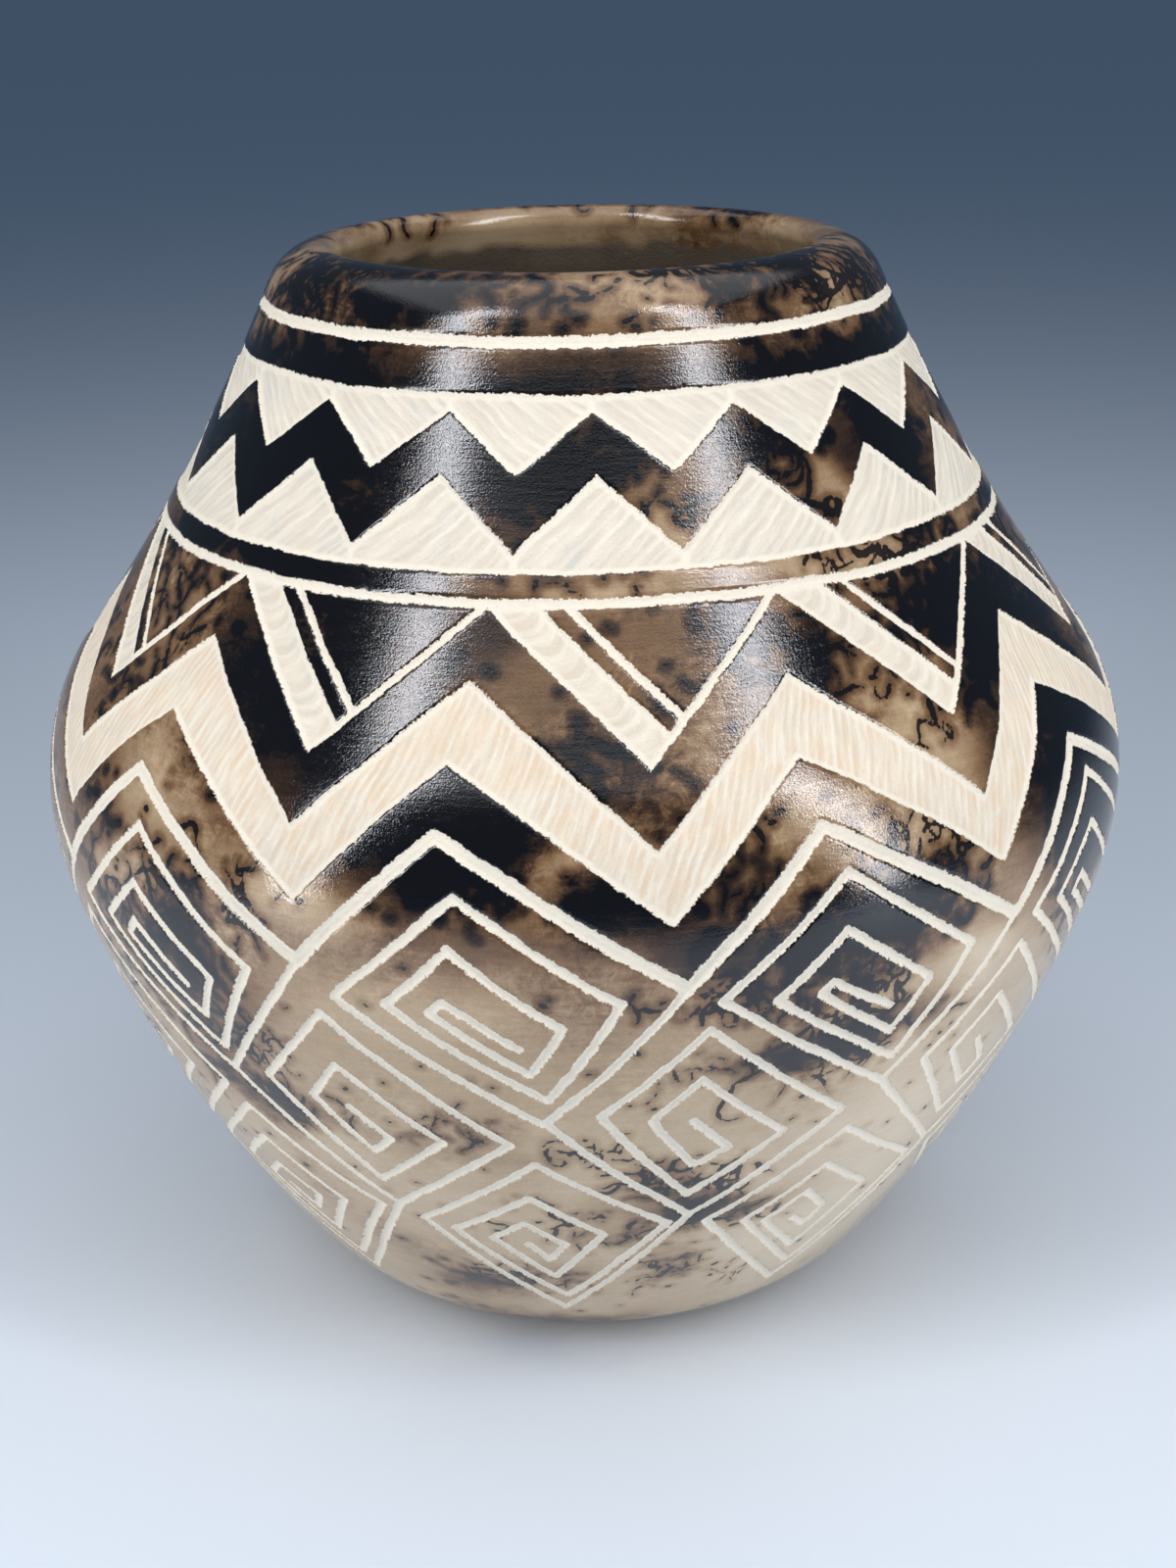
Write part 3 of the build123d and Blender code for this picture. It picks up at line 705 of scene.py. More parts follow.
class Smoke:
    """Clouds of smoke, one of them painted shadow at the front of the foot, and burnt hairs. The front has
    its own, and the rest is drawn at random from a fixed seed."""

    def __init__(self, outline):
        self.outline = outline
        rng = np.random.default_rng(7)
        self.clouds = list(CLOUDS)
        for _ in range(RANDOM_CLOUDS):
            azimuth = rng.uniform(80, 280)
            height = rng.uniform(12, 194)
            darker = rng.random() < (0.72 if height > 100 else 0.5)
            amount = rng.uniform(0.14, 0.46) if darker else -rng.uniform(0.1, 0.26)
            self.clouds.append((azimuth, height, rng.uniform(6, 18), rng.uniform(4, 14), amount))
        tangles = list(TANGLES)
        for _ in range(RANDOM_TANGLES):
            height = rng.choice([rng.uniform(186, 196), rng.uniform(120, 184), rng.uniform(18, 120)])
            spread = rng.uniform(5, 12), rng.uniform(3, 10)
            count = int(rng.integers(10, 40))
            curls = rng.uniform(4, 10), rng.uniform(0.22, 0.44)
            shape = rng.uniform(0.36, 0.56), rng.uniform(-0.3, 0.6)
            tangles.append((rng.uniform(72, 288), height, *spread, count, *curls, *shape))
        self.hairs = [hair for tangle in tangles for hair in self.tangle(rng, *tangle)]
        for azimuth, height, heading, bend, swing, span, half in HAIRS:
            along = np.arange(0.0, span + THICK_HAIR_STEP, THICK_HAIR_STEP)
            swung = math.radians(swing) * np.sin(TURN * along / span)
            angle = math.radians(heading) + math.radians(bend) * along + swung
            self.hairs.append(self.strand(rng, azimuth, height, angle, THICK_HAIR_STEP, half))
        for _ in range(SPECKS):
            place = rng.uniform(0, 360), rng.uniform(6, 200)
            angle = np.full(3, rng.uniform(-0.5, 0.5))
            step = rng.uniform(0.1, 0.5)
            self.hairs.append(self.strand(rng, *place, angle, step, rng.uniform(0.18, 0.44)))

    def strand(self, rng, azimuth, height, heading, step, half):
        """One hair: steps along its heading, uneven in thickness and thinner towards its end. Heights
        over the neck go on along the lip."""
        count = len(heading)
        x = np.cumsum(np.cos(heading)) * step * MM
        y = np.cumsum(np.sin(heading)) * step * MM
        taper = 1 - 0.7 * np.linspace(0, 1, count) ** 2
        uneven = np.convolve(rng.uniform(0.45, 1.45, count + 2), (0.3, 0.4, 0.3), "valid")
        top = self.outline.neck_top
        t = self.outline.t_at(min(height * MM, top)) + max(height * MM - top, 0.0)
        return math.radians(azimuth), float(t), x, y, half * MM * taper * uneven

    def tangle(self, rng, azimuth, height, half_width, half_height, count, span, curl, half, hang):
        """Hairs of one tangle. A hair's heading drifts with its bend, and its bend with a slow wave, so it
        curls one way and then the other. Some hang and some lie level."""
        for _ in range(count):
            steps = int(rng.uniform(0.3, 1.3) * span / HAIR_STEP) + 3
            wave = np.sin(np.linspace(0, rng.uniform(1, 9), steps) + rng.uniform(0, TURN))
            bend = rng.uniform(-1, 1) * curl + curl * 1.7 * wave
            heading = np.cumsum(bend) * HAIR_STEP + rng.uniform(0, TURN)
            if rng.random() < abs(hang):
                start = -math.pi / 2 if hang > 0 else 0.0
                heading = start + (heading - heading[0]) * 0.7 + rng.normal(0, 0.4)
            place = azimuth + rng.normal(0, 0.55) * half_width, height + rng.normal(0, 0.55) * half_height
            yield self.strand(rng, *place, heading, HAIR_STEP, half * rng.uniform(0.55, 1.25))

    def tone(self, azimuth, t, place):
        """How much smoke the slip took, from 0 to 1, with painted shadow added at the front of the foot: a
        mean by height, clouds and slow noise. A cloud adds its amount times exp(-(x^2 + y^2)^1.3), with x
        and y in its half widths."""
        z = self.outline.at(t)[1] / MM
        tone = np.interp(z, *zip(*TONES))
        drift = [layered_noise(place, 14 * MM, seed, 3) for seed in (51, 57, 61)]
        degrees = np.degrees(azimuth) + 6 * drift[0]
        height = z + 5 * drift[1]
        for middle, cloud_height, half_width, half_height, amount in self.clouds:
            x = ((degrees - middle + 180) % 360 - 180) / half_width
            y = (height - cloud_height) / half_height
            tone = tone + amount * np.exp(-np.minimum(x * x + y * y, 30) ** 1.3)
        inner = soften(12 * MM, 17 * MM, t - self.outline.neck_top_t)
        tone = tone + (0.42 + 0.30 * drift[0] - tone) * inner
        return np.clip(tone + 0.08 * drift[2], 0.0, 1.1)

    def hair(self, azimuth, t):
        """How deep a place lies inside a burnt hair: the hair's half thickness less the distance to it."""
        best = np.full((len(t), len(azimuth)), -1.6 * MM)
        radius = self.outline.at(t)[0][:, None]
        for middle, middle_t, xs, ys, half in self.hairs:
            low, high = middle_t + ys.min() - HAIR_REACH, middle_t + ys.max() + HAIR_REACH
            rows = np.flatnonzero((t > low) & (t < high))
            if not len(rows):
                continue
            near_radius = max(float(radius[rows].min()), 10 * MM)
            turn = wrapped(azimuth - middle)
            low, high = xs.min() - HAIR_REACH, xs.max() + HAIR_REACH
            columns = np.flatnonzero((turn > low / near_radius) & (turn < high / near_radius))
            x = (radius[rows] * turn[columns])[:, :, None]
            y = (t[rows] - middle_t)[:, None, None]
            away = segment_distance(x, y, (xs[:-1], ys[:-1]), (xs[1:], ys[1:]))
            block = np.ix_(rows, columns)
            best[block] = np.maximum(best[block], (half[:-1] - away).max(axis=2))
        return best


# The finish values that every point of a piece carries, and the distances inside the slip and inside the
# scraped places past which nothing changes.
VALUES = ("scraped", "stroke", "blush", "smoke", "hair", "bare")
DEEPEST_SLIP = -3 * MM
DEEPEST_SCRAPE = 4 * MM


class Jar:
    """What every piece needs: the outline, the scraped pattern and the smoke, which also paints shadow at
    the foot.
    """

    def __init__(self, scene):
        self.shape = scene.jar_shape
        self.pattern = scene.jar_pattern
        self.outline = Outline(self.shape)
        self.scraping = Scraping(self.pattern, self.outline)
        self.smoke = Smoke(self.outline)

    def grid(self, t, columns):
        """Positions, normals and finish values on rows at lengths t and evenly spread azimuths. A point
        is the outline's point at t, turned to its azimuth and moved along its normal by the relief."""
        outline = self.outline
        ghost = np.r_[2 * t[0] - t[1], t, 2 * t[-1] - t[-2]]
        rows = np.clip(ghost, 0.0, outline.t[-1])
        azimuth = np.arange(columns) / columns * TURN
        r, z, out_r, out_z = (value[:, None] for value in outline.at(rows))
        sine, cosine = np.sin(azimuth), -np.cos(azimuth)
        place = (r * sine, r * cosine, z + 0 * sine)
        t_all = rows[:, None] + 0 * azimuth
        azimuth_all = azimuth + 0 * rows[:, None]
        scraped = np.full(t_all.shape, DEEPEST_SLIP)
        stroke = np.zeros_like(scraped)
        blush = np.zeros_like(scraped)
        top_t = outline.neck_top_t + 6 * MM
        drawn = (rows > outline.foot_t) & (rows < top_t)
        if drawn.any():
            part = tuple(value[drawn] for value in place)
            found = self.scraping.survey(azimuth_all[drawn], t_all[drawn], part)
            scraped[drawn], stroke[drawn], blush[drawn] = found
        scraped = np.clip(scraped, DEEPEST_SLIP, DEEPEST_SCRAPE)
        # The tone includes painted shadow at the front of the foot.
        tone = self.smoke.tone(azimuth_all, t_all, place)
        hair = self.smoke.hair(azimuth, rows)
        edge = clay_noise(place, 4 * MM, 71) * 1.2 * MM
        bare = np.maximum(
            soften(-1 * MM, 1.5 * MM, t_all - outline.slip_end_t + 4.5 * MM + edge),
            soften(1 * MM, -2 * MM, t_all - outline.foot_t - 4 * MM + edge),
        )
        relief = self.relief(t_all, place, scraped, stroke, bare)
        lean = np.gradient(relief, axis=0) / np.maximum(np.gradient(ghost), 1e-7)[:, None]
        two_columns = 2 * TURN / columns * np.maximum(r, 1 * MM)
        around = (np.roll(relief, -1, axis=1) - np.roll(relief, 1, axis=1)) / two_columns
        flat = r + relief * out_r
        points = np.stack([flat * sine, flat * cosine, z + relief * out_z], axis=-1)
        along_r, along_z = -out_z, out_r
        normal_r = out_r - lean * along_r
        normal_z = out_z - lean * along_z
        normal_x = normal_r * sine + around * cosine
        normal_y = normal_r * cosine - around * sine
        normals = np.stack([normal_x, normal_y, normal_z + 0 * around], axis=-1)
        normals /= np.linalg.norm(normals, axis=-1, keepdims=True)
        values = dict(zip(VALUES, (scraped, stroke, blush, tone, hair, bare)))
        kept = slice(1, -1)
        return points[kept], normals[kept], {name: value[kept] for name, value in values.items()}

    def relief(self, t, place, scraped, stroke, bare):
        """Height over the modelled surface: never above it outside, with the scraped places lower."""
        shape, pattern, outline = self.shape, self.pattern, self.outline
        lifted = soften(0.0, 9 * MM, t - outline.foot_t)
        outside = lifted * (1 - soften(0.0, 12 * MM, t - outline.slip_end_t))
        slow = 0.5 + 0.5 * layered_noise(place, 26 * MM, 81, 2)
        low = shape.polish_loss + shape.hand_waver * slow
        cut = pattern.scrape_depth * soften(-0.02 * MM, 0.42 * MM, scraped)
        inset = soften(0.4 * MM, 1.2 * MM, scraped)
        marks = pattern.stroke_depth * inset * np.sin(TURN * stroke)
        lumps = 0.03 * MM * soften(0.0, 0.6 * MM, scraped) * clay_noise(place, 1.1 * MM, 87)
        squashed = (place[0] * 0.35, place[1] * 0.35, place[2])
        wiped = clay_noise(squashed, 3.5 * MM, 91) * 0.10 * MM
        wiped = wiped + layered_noise(place, 14 * MM, 93, 2) * 0.3 * MM
        inner = soften(0.0, 14 * MM, t - outline.slip_end_t)
        return -low * outside - cut + marks + lumps + wiped * inner * bare


# Shares of a strip of the map that stay empty at its sides and at its ends.
SIDE_MARGIN = 0.004
END_MARGIN = 0.008


def strips_for(columns, rows):
    """How many stacked strips, up to eleven, make the map of a ring about as tall as it is wide."""
    fitting = [count for count in range(1, 12) if columns % count == 0]
    return min(fitting, key=lambda count: abs(math.log(columns / count / (rows * count))))


def solid_ring(name, rows, columns, poles):
    """A closed surface from rows of points round the axis. Either the last row joins the first, as in a
    ring, or the end rows are poles. Its map stacks pieces of the ring as strips."""
    points, normals = (np.concatenate([row[which] for row in rows]) for which in (0, 1))
    values = {key: np.concatenate([row[2][key] for row in rows]) for key in VALUES}
    count = len(points)
    index = np.arange(count * columns).reshape(count, columns)
    if poles:
        index = index - (columns - 1)
        index[0] = 0
        index[-1] = index[-2, -1] + 1
    keep = np.ones((count, columns), bool)
    if poles:
        keep[[0, -1], 1:] = False
    low = np.arange(count - 1 if poles else count)
    high = (low + 1) % count
    j = np.arange(columns)
    k = (j + 1) % columns
    bottom, top = index[low], index[high]
    corners = np.stack([bottom[:, j], bottom[:, k], top[:, k], top[:, j]], axis=-1).reshape(-1, 4)
    strips = strips_for(columns, len(low))
    per = columns // strips
    strip = j // per
    flat = np.zeros((len(low), columns, 4, 2))
    for corner, (along, up) in enumerate(((0, 0), (1, 0), (1, 1), (0, 1))):
        flat[:, :, corner, 0] = SIDE_MARGIN + (1 - 2 * SIDE_MARGIN) * (j % per + along) / per
        rise = (1 - 2 * END_MARGIN) * (low[:, None] + up) / len(low)
        flat[:, :, corner, 1] = (strip + END_MARGIN + rise) / strips
    flat = flat.reshape(-1, 4, 2)
    used = np.ones(corners.shape, bool)
    if poles:
        used[:columns, 1] = False
        used[-columns:, 3] = False
    mesh = bpy.data.meshes.new(name)
    mesh.vertices.add(int(keep.sum()))
    mesh.vertices.foreach_set("co", points[keep].astype(np.float32).ravel())
    loops = corners[used]
    totals = used.sum(axis=1)
    mesh.loops.add(len(loops))
    mesh.loops.foreach_set("vertex_index", loops.astype(np.int32))
    mesh.polygons.add(len(totals))
    mesh.polygons.foreach_set("loop_start", (np.cumsum(totals) - totals).astype(np.int32))
    mesh.polygons.foreach_set("loop_total", totals.astype(np.int32))
    mesh.polygons.foreach_set("use_smooth", np.ones(len(totals), bool))
    mesh.update(calc_edges=True)
    layer = mesh.uv_layers.new(name="OFBake")
    layer.data.foreach_set("uv", flat[used].astype(np.float32).ravel())
    for key, value in values.items():
        attribute = mesh.attributes.new(key, "FLOAT", "POINT")
        attribute.data.foreach_set("value", value[keep].astype(np.float32))
    mesh.validate()
    mesh.normals_split_custom_set_from_vertices(normals[keep].tolist())
    piece = bpy.data.objects.new(name, mesh)
    bpy.context.scene.collection.objects.link(piece)
    return piece


def dress(name, nodes, rows, columns, poles=False):
    """A piece with the jar's finish that stands for its CAD nodes and moves with the jar."""
    piece = solid_ring(name, rows, columns, poles)
    piece.data.materials.append(jar_finish(bpy.context.scene.jar_finish))
    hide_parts(*nodes)
    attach(piece, "root")


class Value:
    """One output of a shader node. Sums, products and the rest between values add Math nodes."""

    def __init__(self, graph, socket):
        self.graph = graph
        self.socket = socket

    def maths(self, operation, *others):
        """A Math node on this value and others."""
        return self.graph.add("ShaderNodeMath", dict(enumerate((self, *others))), operation=operation)

    def __add__(self, other):
        return self.maths("ADD", other)

    def __sub__(self, other):
        return self.maths("SUBTRACT", other)

    def __mul__(self, other):
        return self.maths("MULTIPLY", other)

    def __rsub__(self, other):
        return self.graph.add("ShaderNodeMath", {0: other, 1: self}, operation="SUBTRACT")

    __radd__ = __add__
    __rmul__ = __mul__

    def soften(self, low, high):
        """Rises from 0 at low to 1 at high, smoothly."""
        inputs = {"Value": self, "From Min": low, "From Max": high}
        return self.graph.add("ShaderNodeMapRange", inputs, interpolation_type="SMOOTHSTEP")


class Graph:
    """The nodes of one material."""

    def __init__(self, name):
        self.material = bpy.data.materials.new(name)
        self.material.use_nodes = True
        self.tree = self.material.node_tree
        self.tree.nodes.clear()
        self.where = self.add("ShaderNodeTexCoord", output="Object")

    def add(self, kind, inputs=None, output=0, stops=None, **settings):
        """Adds one node: first its settings, then its ramp's stops, then the values or links of its
        sockets. Gives one of its outputs, if it has any."""
        node = self.tree.nodes.new(kind)
        for key, value in settings.items():
            setattr(node, key, value)
        if stops:
            ramp = node.color_ramp
            while len(ramp.elements) < len(stops):
                ramp.elements.new(0.5)
            for element, (position, colour) in zip(ramp.elements, stops):
                element.position = position
                element.color = colour
        for key, value in (inputs or {}).items():
            if isinstance(value, Value):
                self.tree.links.new(value.socket, node.inputs[key])
            else:
                node.inputs[key].default_value = value
        return Value(self, node.outputs[output]) if node.outputs else None

    def attribute(self, name):
        """One of the piece's own values."""
        return self.add("ShaderNodeAttribute", output="Fac", attribute_name=name, attribute_type="GEOMETRY")

    def grain(self, size, detail, roughness, distortion=0.0, stretch=None, offset=None):
        """Noise from 0 to 1 with grains of a size in millimetres, or longer along the axes whose stretch
        is small."""
        where = self.where
        for operation, vector in (("MULTIPLY", stretch), ("ADD", offset)):
            if vector:
                where = self.add("ShaderNodeVectorMath", {0: where, 1: vector}, operation=operation)
        inputs = {"Vector": where, "Scale": 1 / (size * MM), "Detail": detail}
        inputs |= {"Roughness": roughness, "Distortion": distortion}
        return self.add("ShaderNodeTexNoise", inputs)

    def blend(self, factor, low, high):
        """Colour or value between two, by a factor."""
        return self.add("ShaderNodeMix", {0: factor, 6: low, 7: high}, output=2, data_type="RGBA")


def linear(colour):
    """A colour as Blender's shaders take it, from one as a screen shows it."""
    values = [value / 12.92 if value <= 0.04045 else ((value + 0.055) / 1.055) ** 2.4 for value in colour]
    return (*values, 1.0)


def jar_finish(finish):
    """Polished slip with smoke, painted shadow at the front of the foot and hair marks, scraped clay with
    the scraper's strokes, and bare clay.
    An edge between two of them is a distance that noise roughens, softened over about 0.1 mm."""
    found = bpy.data.materials.get("smoked_and_scraped_clay")
    if found:
        return found
    graph = Graph("smoked_and_scraped_clay")
    scraped, stroke, blush, smoke, hair, bare = (graph.attribute(name) for name in VALUES)
    speck = graph.grain(0.34, 2.0, 0.6) - 0.5
    fine = graph.grain(0.7, 2.0, 0.6) - 0.5
    medium = graph.grain(2.2, 3.0, 0.6) - 0.5
    burnish = graph.grain(0.75, 3.0, 0.65, stretch=(0.10, 0.10, 1.0)) - 0.5

    edge = scraped + speck * (0.75 * MM) + fine * (0.7 * MM)
    cut = edge.soften(-0.04 * MM, 0.06 * MM)
    inset = scraped.soften(0.6 * MM, 1.4 * MM)

    patch = graph.grain(17, 3.0, 0.6, 0.5, offset=(0.5, 0.2, 0.7))
    cloud = graph.grain(11, 5.0, 0.62, 0.9) - 0.5
    marble = graph.grain(3.6, 6.0, 0.74, 1.8, offset=(0.3, 0.1, 0.2)) - 0.5
    streak = graph.grain(2.0, 5.0, 0.7, 0.4, stretch=(0.2, 0.2, 1.3)) - 0.5
    swing = (0.10 + smoke * smoke * (1.12 - smoke) * 3.6) * (0.16 + patch.soften(0.40, 0.66) * 1.0)
    smudge = hair.soften(-1.7 * MM, 0.1 * MM) * (0.13 + smoke.soften(0.15, 0.5) * 0.08)
    # The smoke tone also darkens the front of the foot as painted shadow.
    tone = smoke + smudge + (cloud * 0.75 + marble * 0.85 + streak * 0.45) * swing
    tone = tone + burnish * 0.12 + speck * 0.13 + fine * 0.06
    paints = (finish.slip_pale, finish.slip_tan, finish.slip_brown, finish.slip_umber, finish.soot)
    stops = list(zip((0.0, 0.30, 0.56, 0.76, 0.92), (linear(colour) for colour in paints)))
    slip = graph.add("ShaderNodeValToRGB", {0: tone}, stops=stops)
    mark = (hair + fine * (0.5 * MM) + medium * (0.9 * MM)).soften(-0.05 * MM, 0.08 * MM)
    slip = graph.blend(mark * 0.95, slip, linear(finish.hair))

    wave = (stroke * TURN).maths("SINE") * 0.5 + 0.5
    height = graph.add("ShaderNodeSeparateXYZ", {0: graph.where}, output=2)
    along = graph.add("ShaderNodeCombineXYZ", {0: stroke * 1.1, 2: height * (1 / (6 * MM))})
    inputs = {"Vector": along, "Scale": 1.0, "Detail": 3.0, "Roughness": 0.6}
    streaks = graph.add("ShaderNodeTexNoise", inputs)
    ridge = streaks.soften(0.38, 0.66) * 0.65 + wave.soften(0.25, 1.0) * 0.35
    cool = (1 - blush) * graph.grain(6, 3.0, 0.55, offset=(0.1, 0.6, 0.3)).soften(0.50, 0.72) * 0.85
    ground = graph.blend(cool, linear(finish.cream_groove), linear(finish.cool_smudge))
    warm = blush * (0.35 + (graph.grain(5, 3.0, 0.6) + fine * 0.4).soften(0.36, 0.60) * 0.65)
    ground = graph.blend(warm, ground, linear(finish.blush))
    clay = graph.blend(1 - inset * (1 - ridge), ground, linear(finish.cream))
    crack = 1 - edge.soften(0.04 * MM, 0.26 * MM)
    clay = graph.blend(crack * (0.12 + blush * 0.30), clay, linear(finish.slip_tan))

    stain = graph.grain(22, 4.0, 0.6, 0.8).soften(0.46, 0.72)
    raw = graph.blend(stain * 0.55, linear(finish.inside), linear(finish.inside_stain))
    fleck = graph.grain(4, 4.0, 0.75, offset=(0.9, 0.4, 0.1)).soften(0.66, 0.76)
    raw = graph.blend(fleck * 0.6, raw, linear(finish.slip_pale))

    colour = graph.blend(cut, slip, clay)
    colour = graph.blend(bare, colour, raw)

    dry = graph.add("ShaderNodeMath", {0: cut, 1: bare}, operation="MAXIMUM")
    grit = graph.grain(0.45, 2.0, 0.6, offset=(0.2, 0.8, 0.5)).soften(0.38, 0.66)
    lines = graph.grain(0.5, 2.0, 0.6, stretch=(0.08, 0.08, 1.0)).soften(0.46, 0.70)
    polish = finish.polish + grit * 0.05 + lines * 0.05 + medium * 0.04
    rough = polish + (finish.dryness - polish) * dry

    smooth_height = speck * 0.030 + fine * 0.012 + burnish * 0.030 + medium * 0.006
    rough_height = ridge * inset * 0.09 + fine * 0.15 + medium * 0.08 + speck * 0.09
    lift = smooth_height + (rough_height - smooth_height) * dry
    bump = graph.add("ShaderNodeBump", {"Height": lift, "Distance": MM, "Strength": 1.0}, output="Normal")
    inputs = {
        "Base Color": colour,
        "Roughness": rough,
        "Normal": bump,
        "IOR": 1.66,
        "Specular Tint": (0.94, 0.95, 1.0, 1.0),
    }
    surface = graph.add("ShaderNodeBsdfPrincipled", inputs)
    graph.add("ShaderNodeOutputMaterial", {"Surface": surface})
    return graph.material


def wall_course(jar, name, nodes, low_share, high_share, columns, outer_rows, inner_rows):
    """One course of the wall as a ring: its outside, a bed, its inside and the other bed."""
    low, high = (jar.outline.t_at(value * jar.outline.neck_top) for value in (low_share, high_share))
    outside = jar.grid(np.linspace(low, high, outer_rows), columns)
    inside = jar.grid(np.linspace(jar.outline.across(high), jar.outline.across(low), inner_rows), columns)
    dress(name, nodes, [outside, inside], columns)


# Heights of the beds between the coils, and points round the base, the neck and the rim.
BEDS = (0.137, 0.264, 0.391, 0.518, 0.655)
NARROW_COLUMNS = 1000


class JAR_OT_base(bpy.types.Operator):
    """Build the dished base, up to the first coil"""

    bl_idname = "jar.base"
    bl_label = "Base dish"

    def execute(self, context):
        jar = Jar(context.scene)
        outline = jar.outline
        top = outline.t_at(BEDS[0] * outline.neck_top)
        foot = outline.foot_t
        dent = np.linspace(0.0, foot - 6 * MM, 7)
        resting = np.linspace(foot - 5 * MM, foot, 4)[:-1]
        outside = jar.grid(np.r_[dent, resting, np.linspace(foot, top, 76)], NARROW_COLUMNS)
        inside = jar.grid(np.linspace(outline.across(top), outline.t[-1], 12), NARROW_COLUMNS)
        dress("base_dish_dressed", ("base_dish",), [outside, inside], NARROW_COLUMNS, poles=True)
        return {"FINISHED"}


class JAR_OT_wall(bpy.types.Operator):
    """Build the five coils of the lower wall, the belly and the shoulder"""

    bl_idname = "jar.wall"
    bl_label = "Wall coils"

    def execute(self, context):
        jar = Jar(context.scene)
        top = jar.pattern.ring_line_2
        courses = (
            ("lower_coil_1", (), 1200, 62),
            ("lower_coil_2", (), 1350, 58),
            ("belly_coil", ("lozenge_slip",), 1400, 56),
            ("shoulder_coil_1", ("lower_zigzag_slip",), 1400, 58),
            ("shoulder_coil_2", ("pendant_slip", "upper_zigzag_slip"), 1400, 60),
        )
        for (name, slips, columns, rows), low, high in zip(courses, BEDS, (*BEDS[1:], top)):
            wall_course(jar, name + "_dressed", (name, *slips), low, high, columns, rows, 8)
        return {"FINISHED"}


class JAR_OT_neck(bpy.types.Operator):
    """Build the neck's coil with its bands of sawteeth"""

    bl_idname = "jar.neck"
    bl_label = "Neck coil"

    def execute(self, context):
        jar = Jar(context.scene)
        nodes = ("neck_coil", "neck_slip", "sawtooth_slip", "collar_slip")
        low, high = jar.pattern.ring_line_2, jar.pattern.ring_line_1
        wall_course(jar, "neck_coil_dressed", nodes, low, high, NARROW_COLUMNS, 88, 10)
        return {"FINISHED"}


class JAR_OT_rim(bpy.types.Operator):
    """Build the rolled rim, from the upper ring line over the lip and into the mouth"""

    bl_idname = "jar.rim"
    bl_label = "Rim"

    def execute(self, context):
        jar = Jar(context.scene)
        outline = jar.outline
        start = outline.t_at(jar.pattern.ring_line_1 * outline.neck_top)
        end = outline.across(start)
        slip_end = outline.slip_end_t
        t = np.r_[np.linspace(start, slip_end + 2 * MM, 78), np.linspace(slip_end + 3 * MM, end, 6)]
        dress("rim_dressed", ("rim_coil", "rim_slip"), [jar.grid(t, NARROW_COLUMNS)], NARROW_COLUMNS)
        return {"FINISHED"}


def turned(first, second, angle):
    """Two axes turned by an angle, the first one towards the second."""
    sine, cosine = math.sin(angle), math.cos(angle)
    return cosine * first + sine * second, cosine * second - sine * first


def placed(name, data, right, up, back, middle):
    """A lamp or camera at a place, with its own axes along right, up and back."""
    made = bpy.data.objects.new(name, data)
    made.matrix_world = Matrix(np.column_stack([right, up, back, middle]).tolist() + [[0, 0, 0, 1]])
    bpy.context.scene.collection.objects.link(made)
    return made


def lamp(name, azimuth, lift, size, power, reach, aim, lean=0.0):
    """A soft lamp of a width and height that faces a point on the axis from an azimuth and an angle of
    lift. Its lower end leans to the right by an angle."""
    data = bpy.data.lights.new(name, "AREA")
    data.shape = "RECTANGLE"
    data.size, data.size_y = size
    data.energy = power
    way = np.array([math.sin(azimuth) * math.cos(lift), -math.cos(azimuth) * math.cos(lift), math.sin(lift)])
    right = np.array([math.cos(azimuth), math.sin(azimuth), 0.0])
    right, up = turned(right, np.cross(way, right), lean)
    placed(name, data, right, up, way, np.array([0.0, 0.0, aim]) + reach * way)


def floor_disc(radius, spokes=64):
    """A flat round floor: rings of points at radii that grow outwards, round the jar's axis."""
    turn = np.arange(spokes) / spokes * TURN
    rings = radius * np.linspace(0.0, 1.0, 12)[1:] ** 2
    x, y = np.outer(rings, np.sin(turn)), -np.outer(rings, np.cos(turn))
    points = [(0.0, 0.0, 0.0)] + np.stack([x, y, 0 * x], axis=-1).reshape(-1, 3).tolist()
    pairs = [(1 + j, 1 + (j + 1) % spokes) for j in range(spokes)]
    faces = [(j, k, 0) for j, k in pairs]
    for low in range(0, spokes * (len(rings) - 1), spokes):
        faces += [(low + spokes + j, low + spokes + k, low + k, low + j) for j, k in pairs]
    mesh = bpy.data.meshes.new("floor")
    mesh.from_pydata(points, [], faces)
    return bpy.data.objects.new("floor", mesh)


ROOM_COLOUR = (0.46, 0.69, 1.0, 1.0)
SENSOR_WIDTH = 36.0
CLIP = (0.01, 40.0)


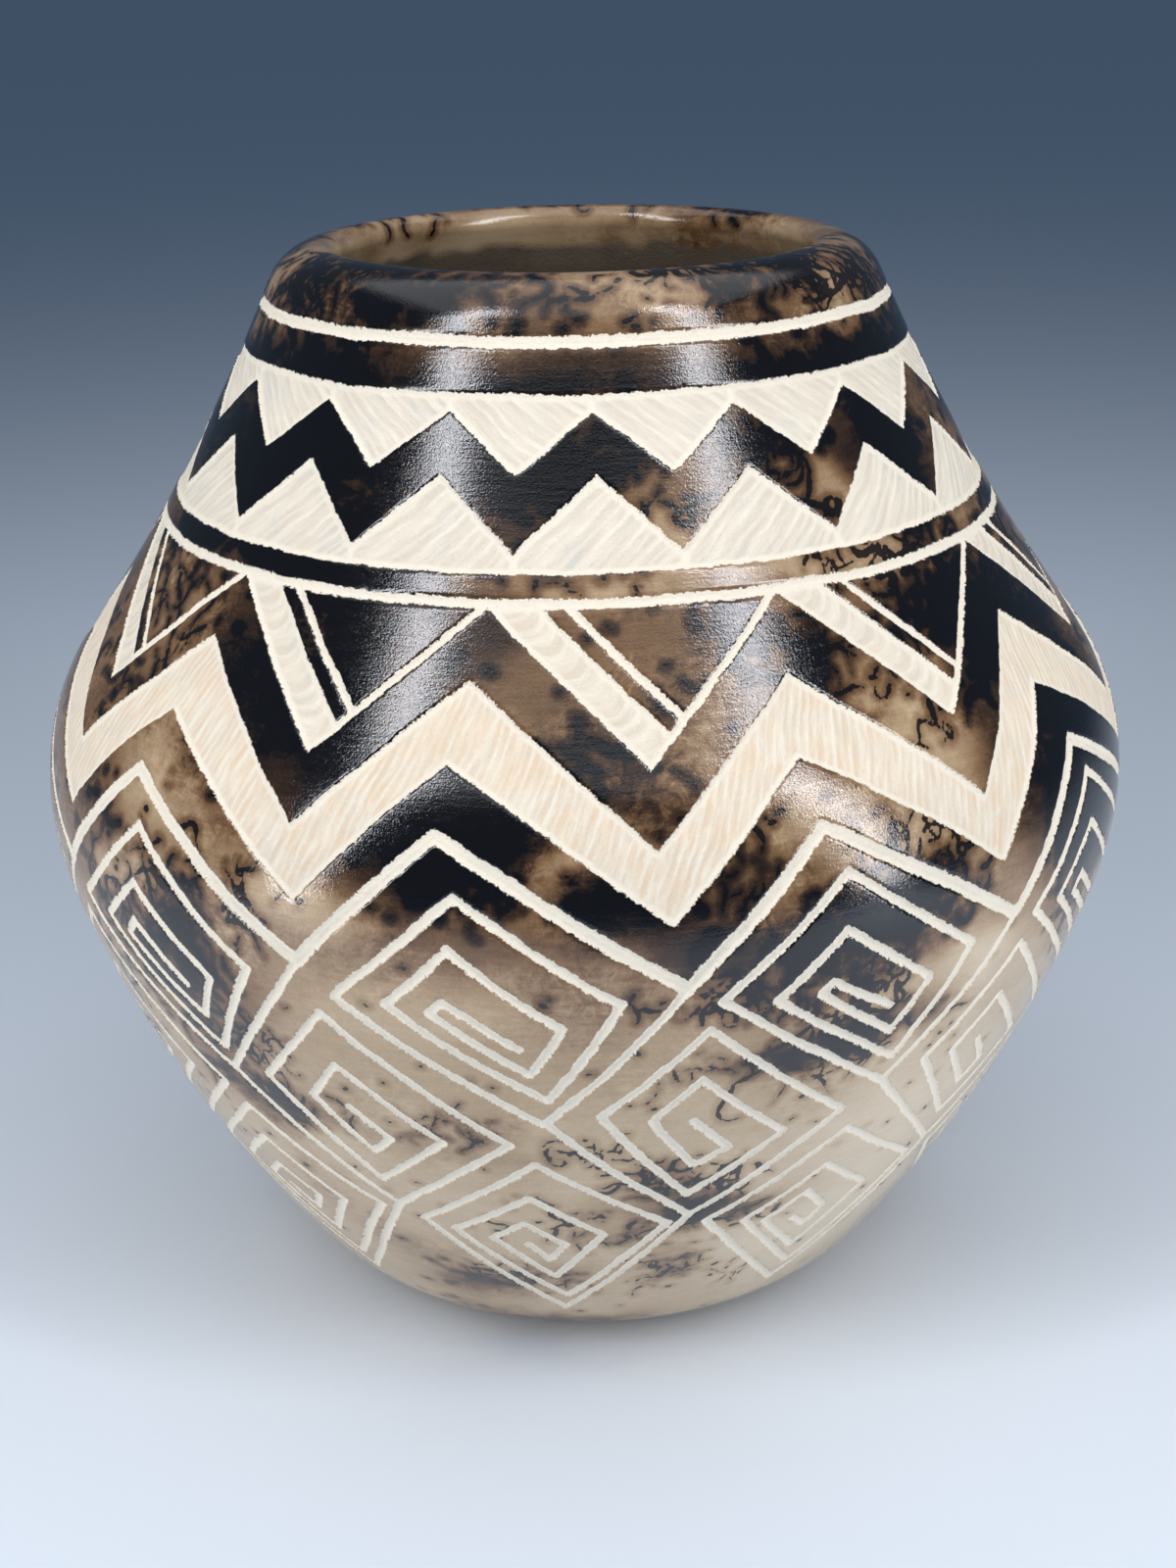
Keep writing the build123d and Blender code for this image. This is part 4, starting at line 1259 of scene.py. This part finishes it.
class JAR_OT_stage(bpy.types.Operator):
    """Set the floor, the room's light, two tall lamps, one above and the camera"""

    bl_idname = "jar.stage"
    bl_label = "Stage"

    def execute(self, context):
        scene = context.scene
        stage = scene.jar_stage
        floor = floor_disc(stage.floor_radius)
        graph = Graph("pale_floor")
        inputs = {"Base Color": linear(stage.floor_colour), "Roughness": 0.85}
        surface = graph.add("ShaderNodeBsdfPrincipled", inputs)
        graph.add("ShaderNodeOutputMaterial", {"Surface": surface})
        floor.data.materials.append(graph.material)
        scene.collection.objects.link(floor)
        world = bpy.data.worlds.new("room")
        world.use_nodes = True
        background = world.node_tree.nodes["Background"]
        background.inputs["Color"].default_value = ROOM_COLOUR
        background.inputs["Strength"].default_value = stage.room_light
        scene.world = world
        size = (stage.tall_width, stage.tall_height)
        common = (stage.tall_lift, size, stage.tall_power, stage.tall_reach, stage.lamp_aim)
        lamp("left_lamp", -stage.left_azimuth, *common, -stage.lamp_lean)
        lamp("right_lamp", stage.right_azimuth, *common, stage.lamp_lean)
        size = (stage.top_width, stage.top_width)
        lamp("top_lamp", 0.0, stage.top_lift, size, stage.top_power, stage.top_reach, stage.lamp_aim)
        scene.view_settings.view_transform = "Standard"
        data = bpy.data.cameras.new("camera")
        data.lens = stage.lens
        data.sensor_width = SENSOR_WIDTH
        data.sensor_fit = "AUTO"
        data.clip_start, data.clip_end = CLIP
        sine, cosine = math.sin(stage.camera_pitch), math.cos(stage.camera_pitch)
        ahead = np.array([0.0, cosine, -sine])
        right, up = turned(np.array([1.0, 0.0, 0.0]), np.array([0.0, sine, cosine]), stage.camera_roll)
        eye = np.array([stage.camera_side, 0.0, stage.camera_height]) - ahead * stage.camera_distance
        scene.camera = placed("camera", data, right, up, -ahead, eye)
        return {"FINISHED"}


class JAR_PT_sidebar(bpy.types.Panel):
    """The jar's pieces and stage"""

    bl_idname = "JAR_PT_sidebar"
    bl_label = "Smoked pottery jar"
    bl_space_type = "VIEW_3D"
    bl_region_type = "UI"
    bl_category = "Jar"

    def draw(self, context):
        for operator in OPERATORS:
            self.layout.operator(operator.bl_idname)
        for name, group in GROUPS.items():
            box = self.layout.box()
            for key in group.__annotations__:
                box.prop(getattr(context.scene, name), key, text=key.replace("_", " ").capitalize())


GROUPS = {"jar_shape": JarShape, "jar_pattern": JarPattern, "jar_finish": JarFinish, "jar_stage": JarStage}
OPERATORS = (JAR_OT_base, JAR_OT_wall, JAR_OT_neck, JAR_OT_rim, JAR_OT_stage)


def register():
    """Makes the groups, operators and panel known to Blender."""
    for group in GROUPS.values():
        bpy.utils.register_class(group)
    for made in (*OPERATORS, JAR_PT_sidebar):
        bpy.utils.register_class(made)
    for name, group in GROUPS.items():
        setattr(bpy.types.Scene, name, bpy.props.PointerProperty(type=group))


def unregister():
    """Takes them out again."""
    for name in GROUPS:
        delattr(bpy.types.Scene, name)
    for made in (*OPERATORS, JAR_PT_sidebar, *GROUPS.values()):
        bpy.utils.unregister_class(made)


def main():
    """Builds the jar and its stage."""
    register()
    bpy.ops.jar.base()
    bpy.ops.jar.wall()
    bpy.ops.jar.neck()
    bpy.ops.jar.rim()
    bpy.ops.jar.stage()


if __name__ == "__main__":
    main()
